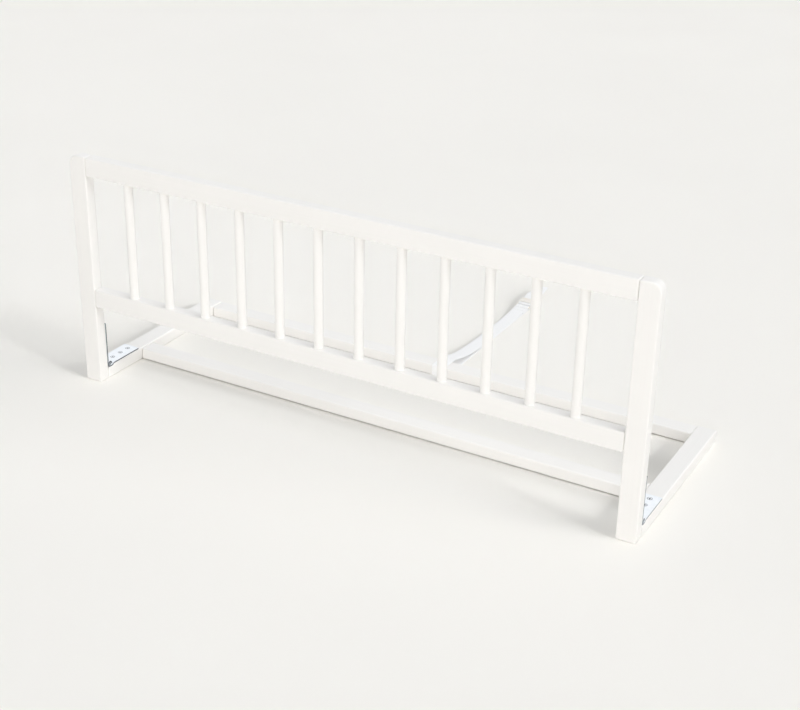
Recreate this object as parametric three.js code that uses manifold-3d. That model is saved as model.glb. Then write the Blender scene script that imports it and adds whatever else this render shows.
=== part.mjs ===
// Folding bed guard rail: a barred panel hinged to a flat base frame that lies under the mattress,
// with a webbing belt on the rear rail that ties the base to a slat of the bed.
// Millimetres. +X runs along the length, +Y from the panel to the rear of the base, +Z up.
// Places along Y are measured from the panel's front face, and the whole is centred at the end.

import * as THREE from "three";
import { mergeVertices } from "three/addons/utils/BufferGeometryUtils.js";
import Module from "manifold-3d";

// Overall size
const GUARD_LENGTH = 1000;
const GUARD_HEIGHT = 400;
const BASE_DEPTH = 350;

// Timber of the panel
const POST_WIDTH = 32;
const PANEL_THICKNESS = 20;
const PANEL_RAIL_HEIGHT = 32;
const BOTTOM_RAIL_CLEARANCE = 140;
const POST_TOP_RADIUS = 15;
const BAR_DIAMETER = 15;
const BAR_PITCH = 71;
const BAR_END_GAP_LEAST = 50;
const BAR_TENON = 12;
const BAR_END_CHAMFER = 1;

// Timber of the base
const SIDE_RAIL_THICKNESS = 22;
const CROSS_RAIL_WIDTH = 30;
const CROSS_RAIL_THICKNESS = 19;
const FRONT_CROSS_RAIL_SETBACK = 110;

// Rounding of the timber
const EDGE_RADIUS = 2.5;
const OUTLINE_CORNER_RADIUS = 3;

// Glued dowel pins inside the joints of the timber
const DOWEL_PIN_DIAMETER = 8;
const DOWEL_PIN_LENGTH = 36;
const DOWEL_PIN_SPACING = 16;
const DOWEL_PIN_CHAMFER = 1;

// Hinges
const LEAF_WIDTH = 31;
const LEAF_THICKNESS = 2;
const LEAF_REACH = 77;
const LEAF_SWAGE = 2.5;
const LEAF_SWAGE_RUN = 5.5;
const LEAF_CURL_ANGLE = THREE.MathUtils.degToRad(280);
const PIN_DIAMETER = 6;
const PIN_PROUD = 0.3;
const PIN_DOME = 0.8;
const KNUCKLE_COUNT = 3;
const NOTCH_CLEARANCE = 0.6;

// Countersunk screws of the hinges
const SCREW_COUNT = 3;
const SCREW_PITCH = 20.2;
const SCREW_TIP_MARGIN = 11.3;
const SCREW_DIAMETER = 3.5;
const SCREW_HEAD_DIAMETER = 7;
const SCREW_LENGTH = 16;
const SCREW_POINT_LENGTH = 3;

// Belt of flat webbing and its ladder lock
const WEBBING_WIDTH = 25;
const WEBBING_THICKNESS = 1.2;
const BELT_OFFSET = 11;
const LOCK_WIDTH = 31;
const LOCK_THICKNESS = 2.4;
const LOCK_EDGE_SHARE = 0.45;
const LOCK_BAR = 4;
const LOCK_SLOT = 5;
const LOCK_TAB = 13;
const LOCK_CORNER_RADIUS = 4;
const LOCK_SLOT_CLEARANCE = 0.4;
const LOCK_TILT = THREE.MathUtils.degToRad(10);
const HEM_LENGTH = 20;
const ROLL_RADIUS = 5.5;

// Places along the belt as [Y, Z], with Y from the rear face of the base and Z from the floor
const LOCK_PLACE = [312, 5.4];
const ROLL_PLACE_Y = 357;
const UPPER_RUN_ROUTE = [
  [4, 21.4],
  [9, 20.9],
  [16, 19.3],
  [26, 16.7],
  [37, 13.6],
  [48, 10.8],
  [65, 8.2],
  [86, 6.1],
  [110, 4.6],
  [136, 3.5],
  [165, 2.8],
  [198, 2.6],
  [232, 2.8],
  [258, 3.4],
  [278, 4.2],
];
const TAIL_ROUTE = [
  [348, 11.4],
  [357, 13.7],
  [365, 12.6],
  [373, 11],
  [381, 11.2],
  [390, 13],
  [399, 15.2],
];

// Fit between pieces, and how far a cutter runs past the face that it opens
const SEAT_GAP = 0.3;
const CUT_OVERRUN = 1;

// Facets of round shapes
const BAR_FACETS = 20;
const DOWEL_PIN_FACETS = 8;
const SCREW_FACETS = 12;
const PIN_FACETS = 20;
const EDGE_FACETS = 3;
const CORNER_FACETS = 2;
const POST_CORNER_FACETS = 3;
const STRIP_FACETS = 8;
const CURL_FACETS = 24;
const MERGE_DISTANCE = 0.0005;

// Places that follow from the sizes
const POST_CENTRE_X = (GUARD_LENGTH - POST_WIDTH) / 2;
const CLEAR_LENGTH = GUARD_LENGTH - 2 * POST_WIDTH;
const RAIL_LENGTH = CLEAR_LENGTH - 2 * SEAT_GAP;
const TOP_RAIL_Z = GUARD_HEIGHT - PANEL_RAIL_HEIGHT / 2;
const BOTTOM_RAIL_Z = BOTTOM_RAIL_CLEARANCE + PANEL_RAIL_HEIGHT / 2;
const BASE_MIDDLE_Z = SIDE_RAIL_THICKNESS / 2;
const SIDE_RAIL_FRONT_Y = PANEL_THICKNESS + SEAT_GAP;
const CROSS_RAIL_PLACES_Y = {
  front_cross_rail: FRONT_CROSS_RAIL_SETBACK + CROSS_RAIL_WIDTH / 2,
  rear_cross_rail: BASE_DEPTH - CROSS_RAIL_WIDTH / 2,
};
const BAR_COUNT = 1 + Math.floor((CLEAR_LENGTH - BAR_DIAMETER - 2 * BAR_END_GAP_LEAST) / BAR_PITCH);

const PIN_RADIUS = PIN_DIAMETER / 2;
const CURL_RADIUS = PIN_RADIUS + SEAT_GAP + LEAF_THICKNESS / 2;
const BARREL_RADIUS = CURL_RADIUS + LEAF_THICKNESS / 2;
const HINGE_Y = PANEL_THICKNESS + SEAT_GAP + BARREL_RADIUS;
const HINGE_Z = SIDE_RAIL_THICKNESS + SEAT_GAP + BARREL_RADIUS - LEAF_SWAGE;
const SCREW_PLACES = Array.from(
  { length: SCREW_COUNT },
  (_, i) => LEAF_REACH - SCREW_TIP_MARGIN - (SCREW_COUNT - 1 - i) * SCREW_PITCH,
);

// Colour and finish
const MATERIALS = {
  white_lacquer: { color: 0xf4f1ec, roughness: 0.45, metalness: 0 },
  beech: { color: 0xd8b88c, roughness: 0.7, metalness: 0 },
  zinc_plate: { color: 0xd5d9df, roughness: 0.3, metalness: 0.9 },
  webbing: { color: 0xefedea, roughness: 0.9, metalness: 0 },
  cream_plastic: { color: 0xe9dec2, roughness: 0.5, metalness: 0 },
};

const QUARTER = Math.PI / 2;

const wasm = await Module();
wasm.setup();

// A named mesh with a material of its own
function piece(name, geometry, finish) {
  const mesh = new THREE.Mesh(geometry, new THREE.MeshStandardMaterial(MATERIALS[finish]));
  mesh.name = name;
  return mesh;
}

// A closed geometry as a solid that can be cut
function toSolid(geometry) {
  const bare = geometry.index ? geometry.toNonIndexed() : geometry.clone();
  bare.deleteAttribute("normal");
  bare.deleteAttribute("uv");
  const merged = mergeVertices(bare, MERGE_DISTANCE);
  return new wasm.Manifold(
    new wasm.Mesh({
      numProp: 3,
      vertProperties: merged.attributes.position.array,
      triVerts: new Uint32Array(merged.index.array),
    }),
  );
}

// A solid's surface as a geometry
function toGeometry(solid) {
  const surface = solid.getMesh();
  const geometry = new THREE.BufferGeometry();
  geometry.setAttribute("position", new THREE.BufferAttribute(surface.vertProperties, surface.numProp));
  geometry.setIndex(new THREE.BufferAttribute(surface.triVerts, 1));
  geometry.computeVertexNormals();
  return geometry;
}

// The geometry with every cutter taken out of it
function cut(geometry, cutters) {
  return toGeometry(cutters.reduce((solid, cutter) => solid.subtract(toSolid(cutter)), toSolid(geometry)));
}

// A closed rectangle round the origin with its own radius at each corner
function roundedOutline(width, height, radii) {
  const [right, top] = [width / 2, height / 2];
  const { bottomLeft, bottomRight, topRight, topLeft } = radii;
  const outline = new THREE.Shape();
  outline.absarc(right - bottomRight, bottomRight - top, bottomRight, -Math.PI / 2, 0);
  outline.absarc(right - topRight, top - topRight, topRight, 0, Math.PI / 2);
  outline.absarc(topLeft - right, top - topLeft, topLeft, Math.PI / 2, Math.PI);
  outline.absarc(bottomLeft - right, bottomLeft - top, bottomLeft, Math.PI, 1.5 * Math.PI);
  outline.closePath();
  return outline;
}

// A board round the origin: outline in XY, thickness along Z, every edge of its two faces rounded over
function board(width, height, thickness, corners = {}, cornerFacets = CORNER_FACETS) {
  const plain = OUTLINE_CORNER_RADIUS;
  const radii = { bottomLeft: plain, bottomRight: plain, topRight: plain, topLeft: plain, ...corners };
  return new THREE.ExtrudeGeometry(roundedOutline(width, height, radii), {
    depth: thickness - 2 * EDGE_RADIUS,
    bevelThickness: EDGE_RADIUS,
    bevelSize: EDGE_RADIUS,
    bevelOffset: -EDGE_RADIUS,
    bevelSegments: EDGE_FACETS,
    curveSegments: cornerFacets,
  }).translate(0, 0, EDGE_RADIUS - thickness / 2);
}

// A round cutter along an axis, from a mouth place to a depth behind it, that overruns the mouth
function bore(radius, depth, facets, mouth, inward) {
  const length = depth + CUT_OVERRUN;
  const turn = new THREE.Quaternion().setFromUnitVectors(new THREE.Vector3(0, 1, 0), inward);
  const centre = mouth.clone().addScaledVector(inward, length / 2 - CUT_OVERRUN);
  const cutter = new THREE.CylinderGeometry(radius, radius, length, facets);
  return cutter.applyQuaternion(turn).translate(...centre);
}

// A rod along Y round the origin with chamfered ends
function chamferedRod(diameter, length, chamfer, facets) {
  const [radius, half] = [diameter / 2, length / 2];
  const profile = [
    new THREE.Vector2(0, -half),
    new THREE.Vector2(radius - chamfer, -half),
    new THREE.Vector2(radius, chamfer - half),
    new THREE.Vector2(radius, half - chamfer),
    new THREE.Vector2(radius - chamfer, half),
    new THREE.Vector2(0, half),
  ];
  return new THREE.LatheGeometry(profile, facets);
}

// The places of a joint's dowel pins across the joint
const DOWEL_PIN_PLACES = [-DOWEL_PIN_SPACING / 2, DOWEL_PIN_SPACING / 2];

// A blind hole for half of a dowel pin
function dowelPinHole(mouth, inward) {
  const radius = DOWEL_PIN_DIAMETER / 2 + SEAT_GAP;
  return bore(radius, DOWEL_PIN_LENGTH / 2 + SEAT_GAP, DOWEL_PIN_FACETS, mouth, inward);
}

// A pilot hole for a hinge screw, as deep below the leaf's seat as the screw reaches
function pilotHole(mouth, inward) {
  const reach = SCREW_LENGTH - LEAF_THICKNESS;
  return bore(SCREW_DIAMETER / 2 + SEAT_GAP, reach, SCREW_FACETS, mouth, inward);
}

const AXIS = {
  left: new THREE.Vector3(-1, 0, 0),
  right: new THREE.Vector3(1, 0, 0),
  up: new THREE.Vector3(0, 1, 0),
  down: new THREE.Vector3(0, -1, 0),
  out: new THREE.Vector3(0, 0, 1),
  in: new THREE.Vector3(0, 0, -1),
};

// Post of the panel, drawn from the front: X across, Y up from its foot, and its back at -Z
function post(side) {
  const corners = { [side > 0 ? "topRight" : "topLeft"]: POST_TOP_RADIUS };
  const blank = board(POST_WIDTH, GUARD_HEIGHT, PANEL_THICKNESS, corners, POST_CORNER_FACETS);
  blank.translate(0, GUARD_HEIGHT / 2, 0);
  const inward = side > 0 ? AXIS.right : AXIS.left;
  const joints = [TOP_RAIL_Z, BOTTOM_RAIL_Z].flatMap((z) =>
    DOWEL_PIN_PLACES.map((offset) =>
      dowelPinHole(new THREE.Vector3((-side * POST_WIDTH) / 2, z + offset, 0), inward),
    ),
  );
  const screws = SCREW_PLACES.map((place) =>
    pilotHole(new THREE.Vector3(0, HINGE_Z + place, -PANEL_THICKNESS / 2), AXIS.out),
  );
  return cut(blank, [...joints, ...screws]);
}

// The bars' places along the panel
const BAR_PLACES = Array.from({ length: BAR_COUNT }, (_, i) => (i - (BAR_COUNT - 1) / 2) * BAR_PITCH);

// Rail of the panel, drawn from the front, with the blind holes for its bars in one long edge
function panelRail(barSide) {
  const inward = barSide > 0 ? AXIS.down : AXIS.up;
  const holes = BAR_PLACES.map((x) =>
    bore(
      BAR_DIAMETER / 2 + SEAT_GAP,
      BAR_TENON + SEAT_GAP,
      BAR_FACETS,
      new THREE.Vector3(x, (barSide * PANEL_RAIL_HEIGHT) / 2, 0),
      inward,
    ),
  );
  return cut(board(RAIL_LENGTH, PANEL_RAIL_HEIGHT, PANEL_THICKNESS), [...holes, ...railEndHoles()]);
}

// The dowel pin holes in both ends of a rail
function railEndHoles() {
  return [-1, 1].flatMap((side) =>
    DOWEL_PIN_PLACES.map((offset) =>
      dowelPinHole(
        new THREE.Vector3((side * RAIL_LENGTH) / 2, offset, 0),
        side > 0 ? AXIS.left : AXIS.right,
      ),
    ),
  );
}

// Cross rail of the base, drawn from above
function crossRail() {
  return cut(board(RAIL_LENGTH, CROSS_RAIL_WIDTH, CROSS_RAIL_THICKNESS), railEndHoles());
}

const SIDE_RAIL_LENGTH = BASE_DEPTH - SIDE_RAIL_FRONT_Y;
const SIDE_RAIL_Y = (BASE_DEPTH + SIDE_RAIL_FRONT_Y) / 2;

// Side rail of the base, drawn from above, with a notch for the hinge barrel across its front end
function sideRail(side) {
  const inner = side > 0 ? AXIS.right : AXIS.left;
  const joints = Object.values(CROSS_RAIL_PLACES_Y).flatMap((y) =>
    DOWEL_PIN_PLACES.map((offset) =>
      dowelPinHole(new THREE.Vector3((-side * POST_WIDTH) / 2, y + offset - SIDE_RAIL_Y, 0), inner),
    ),
  );
  const screws = SCREW_PLACES.map((place) =>
    pilotHole(new THREE.Vector3(0, HINGE_Y + place - SIDE_RAIL_Y, SIDE_RAIL_THICKNESS / 2), AXIS.in),
  );
  const blank = board(POST_WIDTH, SIDE_RAIL_LENGTH, SIDE_RAIL_THICKNESS);
  return cut(blank, [...joints, ...screws, barrelNotch()]);
}

// How far from the hinge's axis the swage of the rail's leaf ends
const SWAGE_START = BARREL_RADIUS;
const SWAGE_END = SWAGE_START + LEAF_SWAGE_RUN;

// The notch's cutter in the side rail's frame: a flat bed under the barrel and a ramp under the swage
function barrelNotch() {
  const top = SIDE_RAIL_THICKNESS / 2 + CUT_OVERRUN;
  const bed = HINGE_Z - BARREL_RADIUS - NOTCH_CLEARANCE - BASE_MIDDLE_Z;
  const front = SIDE_RAIL_FRONT_Y - CUT_OVERRUN - SIDE_RAIL_Y;
  const rampFoot = HINGE_Y + SWAGE_START + NOTCH_CLEARANCE - SIDE_RAIL_Y;
  const rampHead = HINGE_Y + SWAGE_END + NOTCH_CLEARANCE - SIDE_RAIL_Y;
  const outline = new THREE.Shape();
  outline.moveTo(front, bed);
  outline.lineTo(rampFoot, bed);
  outline.lineTo(rampHead, SIDE_RAIL_THICKNESS / 2);
  outline.lineTo(rampHead, top);
  outline.lineTo(front, top);
  outline.closePath();
  const width = POST_WIDTH + 2 * CUT_OVERRUN;
  const cutter = new THREE.ExtrudeGeometry(outline, { depth: width, bevelEnabled: false });
  return cutter.translate(0, 0, -width / 2).applyMatrix4(ALONG_Y_AND_Z);
}

// Turns a profile drawn in XY into the YZ plane, with its extrusion along X
const ALONG_Y_AND_Z = new THREE.Matrix4().makeBasis(
  new THREE.Vector3(0, 1, 0),
  new THREE.Vector3(0, 0, 1),
  new THREE.Vector3(1, 0, 0),
);

// A strip of even thickness along a centre line in XY, extruded to a width that is centred on Z
function strip(centreLine, thickness, width) {
  const offsets = centreLine.map((point, i) => {
    const before = centreLine[Math.max(i - 1, 0)];
    const after = centreLine[Math.min(i + 1, centreLine.length - 1)];
    const along = after.clone().sub(before).normalize();
    return new THREE.Vector2(-along.y, along.x).multiplyScalar(thickness / 2);
  });
  const leftSide = centreLine.map((point, i) => point.clone().add(offsets[i]));
  const rightSide = centreLine.map((point, i) => point.clone().sub(offsets[i]));
  const outline = new THREE.Shape([...leftSide, ...rightSide.reverse()]);
  const geometry = new THREE.ExtrudeGeometry(outline, { depth: width, bevelEnabled: false });
  return geometry.translate(0, 0, -width / 2);
}

// An arc's points about a centre, from one angle to another, both ends included
function arcPoints(centre, radius, from, to, facets) {
  return Array.from({ length: facets + 1 }, (_, i) => {
    const angle = from + ((to - from) * i) / facets;
    return new THREE.Vector2(centre.x + radius * Math.cos(angle), centre.y + radius * Math.sin(angle));
  });
}

// Centre line of a hinge leaf: X from the hinge's axis to the tip, Y off the timber.
// It runs in along its seat, steps down by the swage and curls round the pin.
function leafCentreLine(swage) {
  const seat = swage - CURL_RADIUS;
  const step = Array.from({ length: STRIP_FACETS + 1 }, (_, i) => {
    const share = 1 - i / STRIP_FACETS;
    const smooth = share * share * (3 - 2 * share);
    return new THREE.Vector2(
      SWAGE_START + (SWAGE_END - SWAGE_START) * share,
      seat - swage * (1 - smooth),
    );
  });
  const end = -QUARTER - LEAF_CURL_ANGLE;
  const curl = arcPoints({ x: 0, y: 0 }, CURL_RADIUS, -QUARTER, end, CURL_FACETS);
  return [new THREE.Vector2(LEAF_REACH, seat), ...step, ...curl];
}

// The spans along the hinge's axis of the knuckles that one leaf keeps: its own are every second one
function knuckleSpans(first) {
  const width = LEAF_WIDTH / KNUCKLE_COUNT;
  return Array.from({ length: KNUCKLE_COUNT }, (_, i) => i)
    .filter((i) => i % 2 === first)
    .map((i) => ({ from: i * width - LEAF_WIDTH / 2, to: (i + 1) * width - LEAF_WIDTH / 2 }));
}

// Hinge leaf with its knuckles, countersunk for its screws. The other leaf's knuckles get slots.
function hingeLeaf(swage, firstOther) {
  const reach = BARREL_RADIUS + NOTCH_CLEARANCE;
  const slots = knuckleSpans(firstOther).map(({ from, to }) => {
    const start = from <= -LEAF_WIDTH / 2 ? from - CUT_OVERRUN : from - SEAT_GAP / 2;
    const end = to >= LEAF_WIDTH / 2 ? to + CUT_OVERRUN : to + SEAT_GAP / 2;
    return new THREE.BoxGeometry(2 * reach, 2 * reach, end - start).translate(0, 0, (start + end) / 2);
  });
  const top = swage - CURL_RADIUS + LEAF_THICKNESS / 2;
  const holes = SCREW_PLACES.map((x) => countersink().translate(x, top, 0));
  return cut(strip(leafCentreLine(swage), LEAF_THICKNESS, LEAF_WIDTH), [...slots, ...holes]);
}

const SCREW_RADIUS = SCREW_DIAMETER / 2;
const SCREW_HEAD_RADIUS = SCREW_HEAD_DIAMETER / 2;
const SCREW_HEAD_HEIGHT = SCREW_HEAD_RADIUS - SCREW_RADIUS;

// The cutter of a countersunk hole, its mouth at Y zero
function countersink() {
  const depth = LEAF_THICKNESS + CUT_OVERRUN;
  const profile = [
    new THREE.Vector2(0, -depth),
    new THREE.Vector2(SCREW_RADIUS + SEAT_GAP, -depth),
    new THREE.Vector2(SCREW_RADIUS + SEAT_GAP, -SCREW_HEAD_HEIGHT),
    new THREE.Vector2(SCREW_HEAD_RADIUS + SEAT_GAP, 0),
    new THREE.Vector2(SCREW_HEAD_RADIUS + SEAT_GAP, CUT_OVERRUN),
    new THREE.Vector2(0, CUT_OVERRUN),
  ];
  return new THREE.LatheGeometry(profile, SCREW_FACETS);
}

// Countersunk wood screw along Y, the top of its head at zero
function screw() {
  const profile = [
    new THREE.Vector2(0, -SCREW_LENGTH),
    new THREE.Vector2(SCREW_RADIUS, SCREW_POINT_LENGTH - SCREW_LENGTH),
    new THREE.Vector2(SCREW_RADIUS, -SCREW_HEAD_HEIGHT),
    new THREE.Vector2(SCREW_HEAD_RADIUS, 0),
    new THREE.Vector2(0, 0),
  ];
  return new THREE.LatheGeometry(profile, SCREW_FACETS);
}

// Hinge pin along Y with domed ends
function hingePin() {
  const half = LEAF_WIDTH / 2 + PIN_PROUD;
  const shoulder = half - PIN_DOME;
  const dome = (sign) => [
    ...[0, QUARTER / 3, (2 * QUARTER) / 3].map((angle) => {
      const rise = shoulder + PIN_DOME * Math.sin(angle);
      return new THREE.Vector2(PIN_RADIUS * Math.cos(angle), sign * rise);
    }),
    new THREE.Vector2(0, sign * half),
  ];
  return new THREE.LatheGeometry([...dome(-1).reverse(), ...dome(1)], PIN_FACETS);
}

// One leaf with its screws, in the leaf's own frame
function leafGroup(name, swage, firstOther) {
  const group = new THREE.Group();
  group.add(piece(name, hingeLeaf(swage, firstOther), "zinc_plate"));
  const top = swage - CURL_RADIUS + LEAF_THICKNESS / 2;
  SCREW_PLACES.forEach((x, i) => {
    const fastener = piece(`${name}_screw_${i + 1}`, screw(), "zinc_plate");
    fastener.position.set(x, top, 0);
    group.add(fastener);
  });
  return group;
}

// The knuckles at the two ends of a hinge belong to the rail's leaf
const END_KNUCKLES = 0;
const MIDDLE_KNUCKLES = 1;

// A hinge: the rail's leaf lies flat, the post's leaf stands up, and both turn on one pin
function hinge(sideName) {
  const group = new THREE.Group();
  const railLeaf = leafGroup(`${sideName}_rail_leaf`, LEAF_SWAGE, MIDDLE_KNUCKLES);
  railLeaf.setRotationFromMatrix(ALONG_Y_AND_Z);
  const postLeaf = leafGroup(`${sideName}_post_leaf`, 0, END_KNUCKLES);
  postLeaf.setRotationFromMatrix(
    new THREE.Matrix4().makeBasis(
      new THREE.Vector3(0, 0, 1),
      new THREE.Vector3(0, 1, 0),
      new THREE.Vector3(-1, 0, 0),
    ),
  );
  const pin = piece(`${sideName}_hinge_pin`, hingePin(), "zinc_plate");
  pin.rotation.z = Math.PI / 2;
  group.add(railLeaf, postLeaf, pin);
  return group;
}

// The two posts, the two rails and the bars
function panel() {
  const group = new THREE.Group();
  for (const [name, side] of [["left_post", -1], ["right_post", 1]]) {
    const upright = piece(name, post(side), "white_lacquer");
    upright.rotation.x = Math.PI / 2;
    upright.position.set(side * POST_CENTRE_X, PANEL_THICKNESS / 2, 0);
    group.add(upright);
  }
  for (const [name, barSide, z] of [["top_rail", -1, TOP_RAIL_Z], ["bottom_rail", 1, BOTTOM_RAIL_Z]]) {
    const rail = piece(name, panelRail(barSide), "white_lacquer");
    rail.rotation.x = Math.PI / 2;
    rail.position.set(0, PANEL_THICKNESS / 2, z);
    group.add(rail);
  }
  const barLength = TOP_RAIL_Z - BOTTOM_RAIL_Z - PANEL_RAIL_HEIGHT + 2 * BAR_TENON;
  BAR_PLACES.forEach((x, i) => {
    const rod = chamferedRod(BAR_DIAMETER, barLength, BAR_END_CHAMFER, BAR_FACETS);
    const bar = piece(`bar_${String(i + 1).padStart(2, "0")}`, rod, "white_lacquer");
    bar.rotation.x = Math.PI / 2;
    bar.position.set(x, PANEL_THICKNESS / 2, (TOP_RAIL_Z + BOTTOM_RAIL_Z) / 2);
    group.add(bar);
  });
  return group;
}

// The two side rails and the two cross rails
function base() {
  const group = new THREE.Group();
  for (const [name, side] of [["left_side_rail", -1], ["right_side_rail", 1]]) {
    const rail = piece(name, sideRail(side), "white_lacquer");
    rail.position.set(side * POST_CENTRE_X, SIDE_RAIL_Y, BASE_MIDDLE_Z);
    group.add(rail);
  }
  for (const [name, y] of Object.entries(CROSS_RAIL_PLACES_Y)) {
    const rail = piece(name, crossRail(), "white_lacquer");
    rail.position.set(0, y, BASE_MIDDLE_Z);
    group.add(rail);
  }
  return group;
}

// Chamfered dowel pin along Y
function dowelPin() {
  return chamferedRod(DOWEL_PIN_DIAMETER, DOWEL_PIN_LENGTH, DOWEL_PIN_CHAMFER, DOWEL_PIN_FACETS);
}

// The pair of dowel pins inside each end joint of the four rails that run along the length
function dowelPins() {
  const joints = {
    top_rail: (offset) => [PANEL_THICKNESS / 2, TOP_RAIL_Z + offset],
    bottom_rail: (offset) => [PANEL_THICKNESS / 2, BOTTOM_RAIL_Z + offset],
  };
  for (const [name, y] of Object.entries(CROSS_RAIL_PLACES_Y)) {
    joints[name] = (offset) => [y + offset, BASE_MIDDLE_Z];
  }
  const group = new THREE.Group();
  for (const [name, place] of Object.entries(joints)) {
    for (const [sideName, side] of [["left", -1], ["right", 1]]) {
      DOWEL_PIN_PLACES.forEach((offset, i) => {
        const pin = piece(`${name}_${sideName}_dowel_pin_${i + 1}`, dowelPin(), "beech");
        pin.rotation.z = Math.PI / 2;
        pin.position.set((side * CLEAR_LENGTH) / 2, ...place(offset));
        group.add(pin);
      });
    }
  }
  return group;
}

// The belt is drawn in XY from the rear face of the base, with Y up, and extruded across its width.
// The middles of its layers lie this far off a face that they rest on and off the lock's middle plane.
const LAYER = WEBBING_THICKNESS / 2 + SEAT_GAP;
const FLOOR_LAYER = WEBBING_THICKNESS / 2;
const LOCK_LAYER = LOCK_THICKNESS / 2 + LAYER;
const LOCK_SECOND_LAYER = LOCK_LAYER + WEBBING_THICKNESS + SEAT_GAP;

function webbing(name, centreLine) {
  return piece(name, strip(centreLine, WEBBING_THICKNESS, WEBBING_WIDTH), "webbing");
}

// The belt's turn round the front of the rear cross rail, from its top rear edge to its bottom rear edge
function railWrapLine() {
  const turn = EDGE_RADIUS + LAYER;
  const front = EDGE_RADIUS - CROSS_RAIL_WIDTH;
  const top = BASE_MIDDLE_Z + CROSS_RAIL_THICKNESS / 2 - EDGE_RADIUS;
  const bottom = BASE_MIDDLE_Z - CROSS_RAIL_THICKNESS / 2 + EDGE_RADIUS;
  return [
    new THREE.Vector2(0, top + turn),
    ...arcPoints({ x: front, y: top }, turn, QUARTER, 2 * QUARTER, STRIP_FACETS),
    ...arcPoints({ x: front, y: bottom }, turn, 2 * QUARTER, 3 * QUARTER, STRIP_FACETS),
    new THREE.Vector2(0, bottom - turn),
  ];
}

// A place on the tilted ladder lock: along it from its near bar, and off its middle plane
function onLock(along, off) {
  const place = new THREE.Vector2(along, off).rotateAround(new THREE.Vector2(), LOCK_TILT);
  return place.add(new THREE.Vector2(...LOCK_PLACE));
}

// An arc on the tilted ladder lock
function lockArc(along, from, to) {
  return arcPoints({ x: along, y: 0 }, LOCK_LAYER, from, to, STRIP_FACETS).map(({ x, y }) => onLock(x, y));
}

// How far a bar's rounding centres lie from its middle, and places along the lock from its near bar
const LOCK_BAR_FLAT = (LOCK_BAR - LOCK_THICKNESS) / 2;
const LOCK_SECOND_BAR = LOCK_BAR + LOCK_SLOT;
const LOCK_TAB_START = LOCK_SECOND_BAR + LOCK_BAR / 2 + LOCK_SLOT;
const LOCK_END = LOCK_TAB_START + LOCK_TAB;

// A smooth line through places
function smoothLine(places) {
  return new THREE.SplineCurve(places).getPoints(2 * places.length);
}

// The sewn end: from the rail's top to the lock, round its near bar, and hemmed under itself
function upperRunLine() {
  const start = new THREE.Vector2(SEAT_GAP, BASE_MIDDLE_Z + CROSS_RAIL_THICKNESS / 2 + LAYER);
  const route = UPPER_RUN_ROUTE.map(([y, z]) => new THREE.Vector2(y, z));
  const hem = onLock(-LOCK_BAR - HEM_LENGTH, -LOCK_LAYER).setY(FLOOR_LAYER + WEBBING_THICKNESS + SEAT_GAP);
  return [
    ...smoothLine([start, ...route, onLock(-LOCK_BAR, LOCK_LAYER)]),
    ...lockArc(LOCK_BAR_FLAT, QUARTER, -QUARTER),
    onLock(-LOCK_BAR, -LOCK_LAYER),
    hem,
  ];
}

// The loaded run: from under the rail along the floor, rolled back to the lock and round its second bar
function lowerRunLine() {
  const inside = onLock(LOCK_END + LOCK_BAR / 2, -LOCK_SECOND_LAYER);
  const roll = new THREE.Vector2(ROLL_PLACE_Y, FLOOR_LAYER + ROLL_RADIUS);
  const toInside = inside.clone().sub(roll);
  const leave = toInside.angle() - Math.acos(ROLL_RADIUS / toInside.length());
  return [
    new THREE.Vector2(SEAT_GAP, FLOOR_LAYER),
    ...arcPoints(roll, ROLL_RADIUS, -QUARTER, leave, 2 * STRIP_FACETS),
    inside,
    onLock(LOCK_TAB_START, -LOCK_SECOND_LAYER),
    ...lockArc(LOCK_SECOND_BAR - LOCK_BAR_FLAT, -QUARTER, -3 * QUARTER),
  ];
}

// The loose end: over the second bar, down its far slot, out under the tab and over the roll
function tailLine() {
  const lean = QUARTER / 3;
  const route = TAIL_ROUTE.map(([y, z]) => new THREE.Vector2(y, z));
  return [
    onLock(LOCK_SECOND_BAR - LOCK_BAR_FLAT + SEAT_GAP, LOCK_LAYER),
    ...lockArc(LOCK_SECOND_BAR + LOCK_BAR_FLAT, QUARTER, lean),
    ...lockArc(LOCK_TAB_START + LOCK_THICKNESS / 2, 2 * QUARTER + lean, 3 * QUARTER),
    ...smoothLine([onLock(LOCK_END, -LOCK_LAYER), ...route]),
  ];
}

// The moulded lock, drawn flat with X across the belt: a near bar, a slot, a second bar, a slot and a tab
function ladderLock() {
  const length = LOCK_END + LOCK_BAR / 2;
  const round = LOCK_CORNER_RADIUS;
  const corners = { bottomLeft: round, bottomRight: round, topRight: round, topLeft: round };
  const outline = roundedOutline(LOCK_WIDTH, length, corners);
  const start = (LOCK_BAR - length) / 2;
  const across = WEBBING_WIDTH / 2 + LOCK_SLOT_CLEARANCE;
  for (const bar of [0, LOCK_SECOND_BAR]) {
    const near = start + bar + LOCK_BAR / 2;
    const slot = new THREE.Path();
    slot.moveTo(-across, near);
    slot.lineTo(-across, near + LOCK_SLOT);
    slot.lineTo(across, near + LOCK_SLOT);
    slot.lineTo(across, near);
    slot.closePath();
    outline.holes.push(slot);
  }
  const edge = LOCK_EDGE_SHARE * LOCK_THICKNESS;
  return new THREE.ExtrudeGeometry(outline, {
    depth: LOCK_THICKNESS - 2 * edge,
    bevelThickness: edge,
    bevelSize: edge,
    bevelOffset: -edge,
    bevelSegments: EDGE_FACETS,
    curveSegments: CORNER_FACETS,
  }).translate(0, -start, edge - LOCK_THICKNESS / 2);
}

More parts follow.
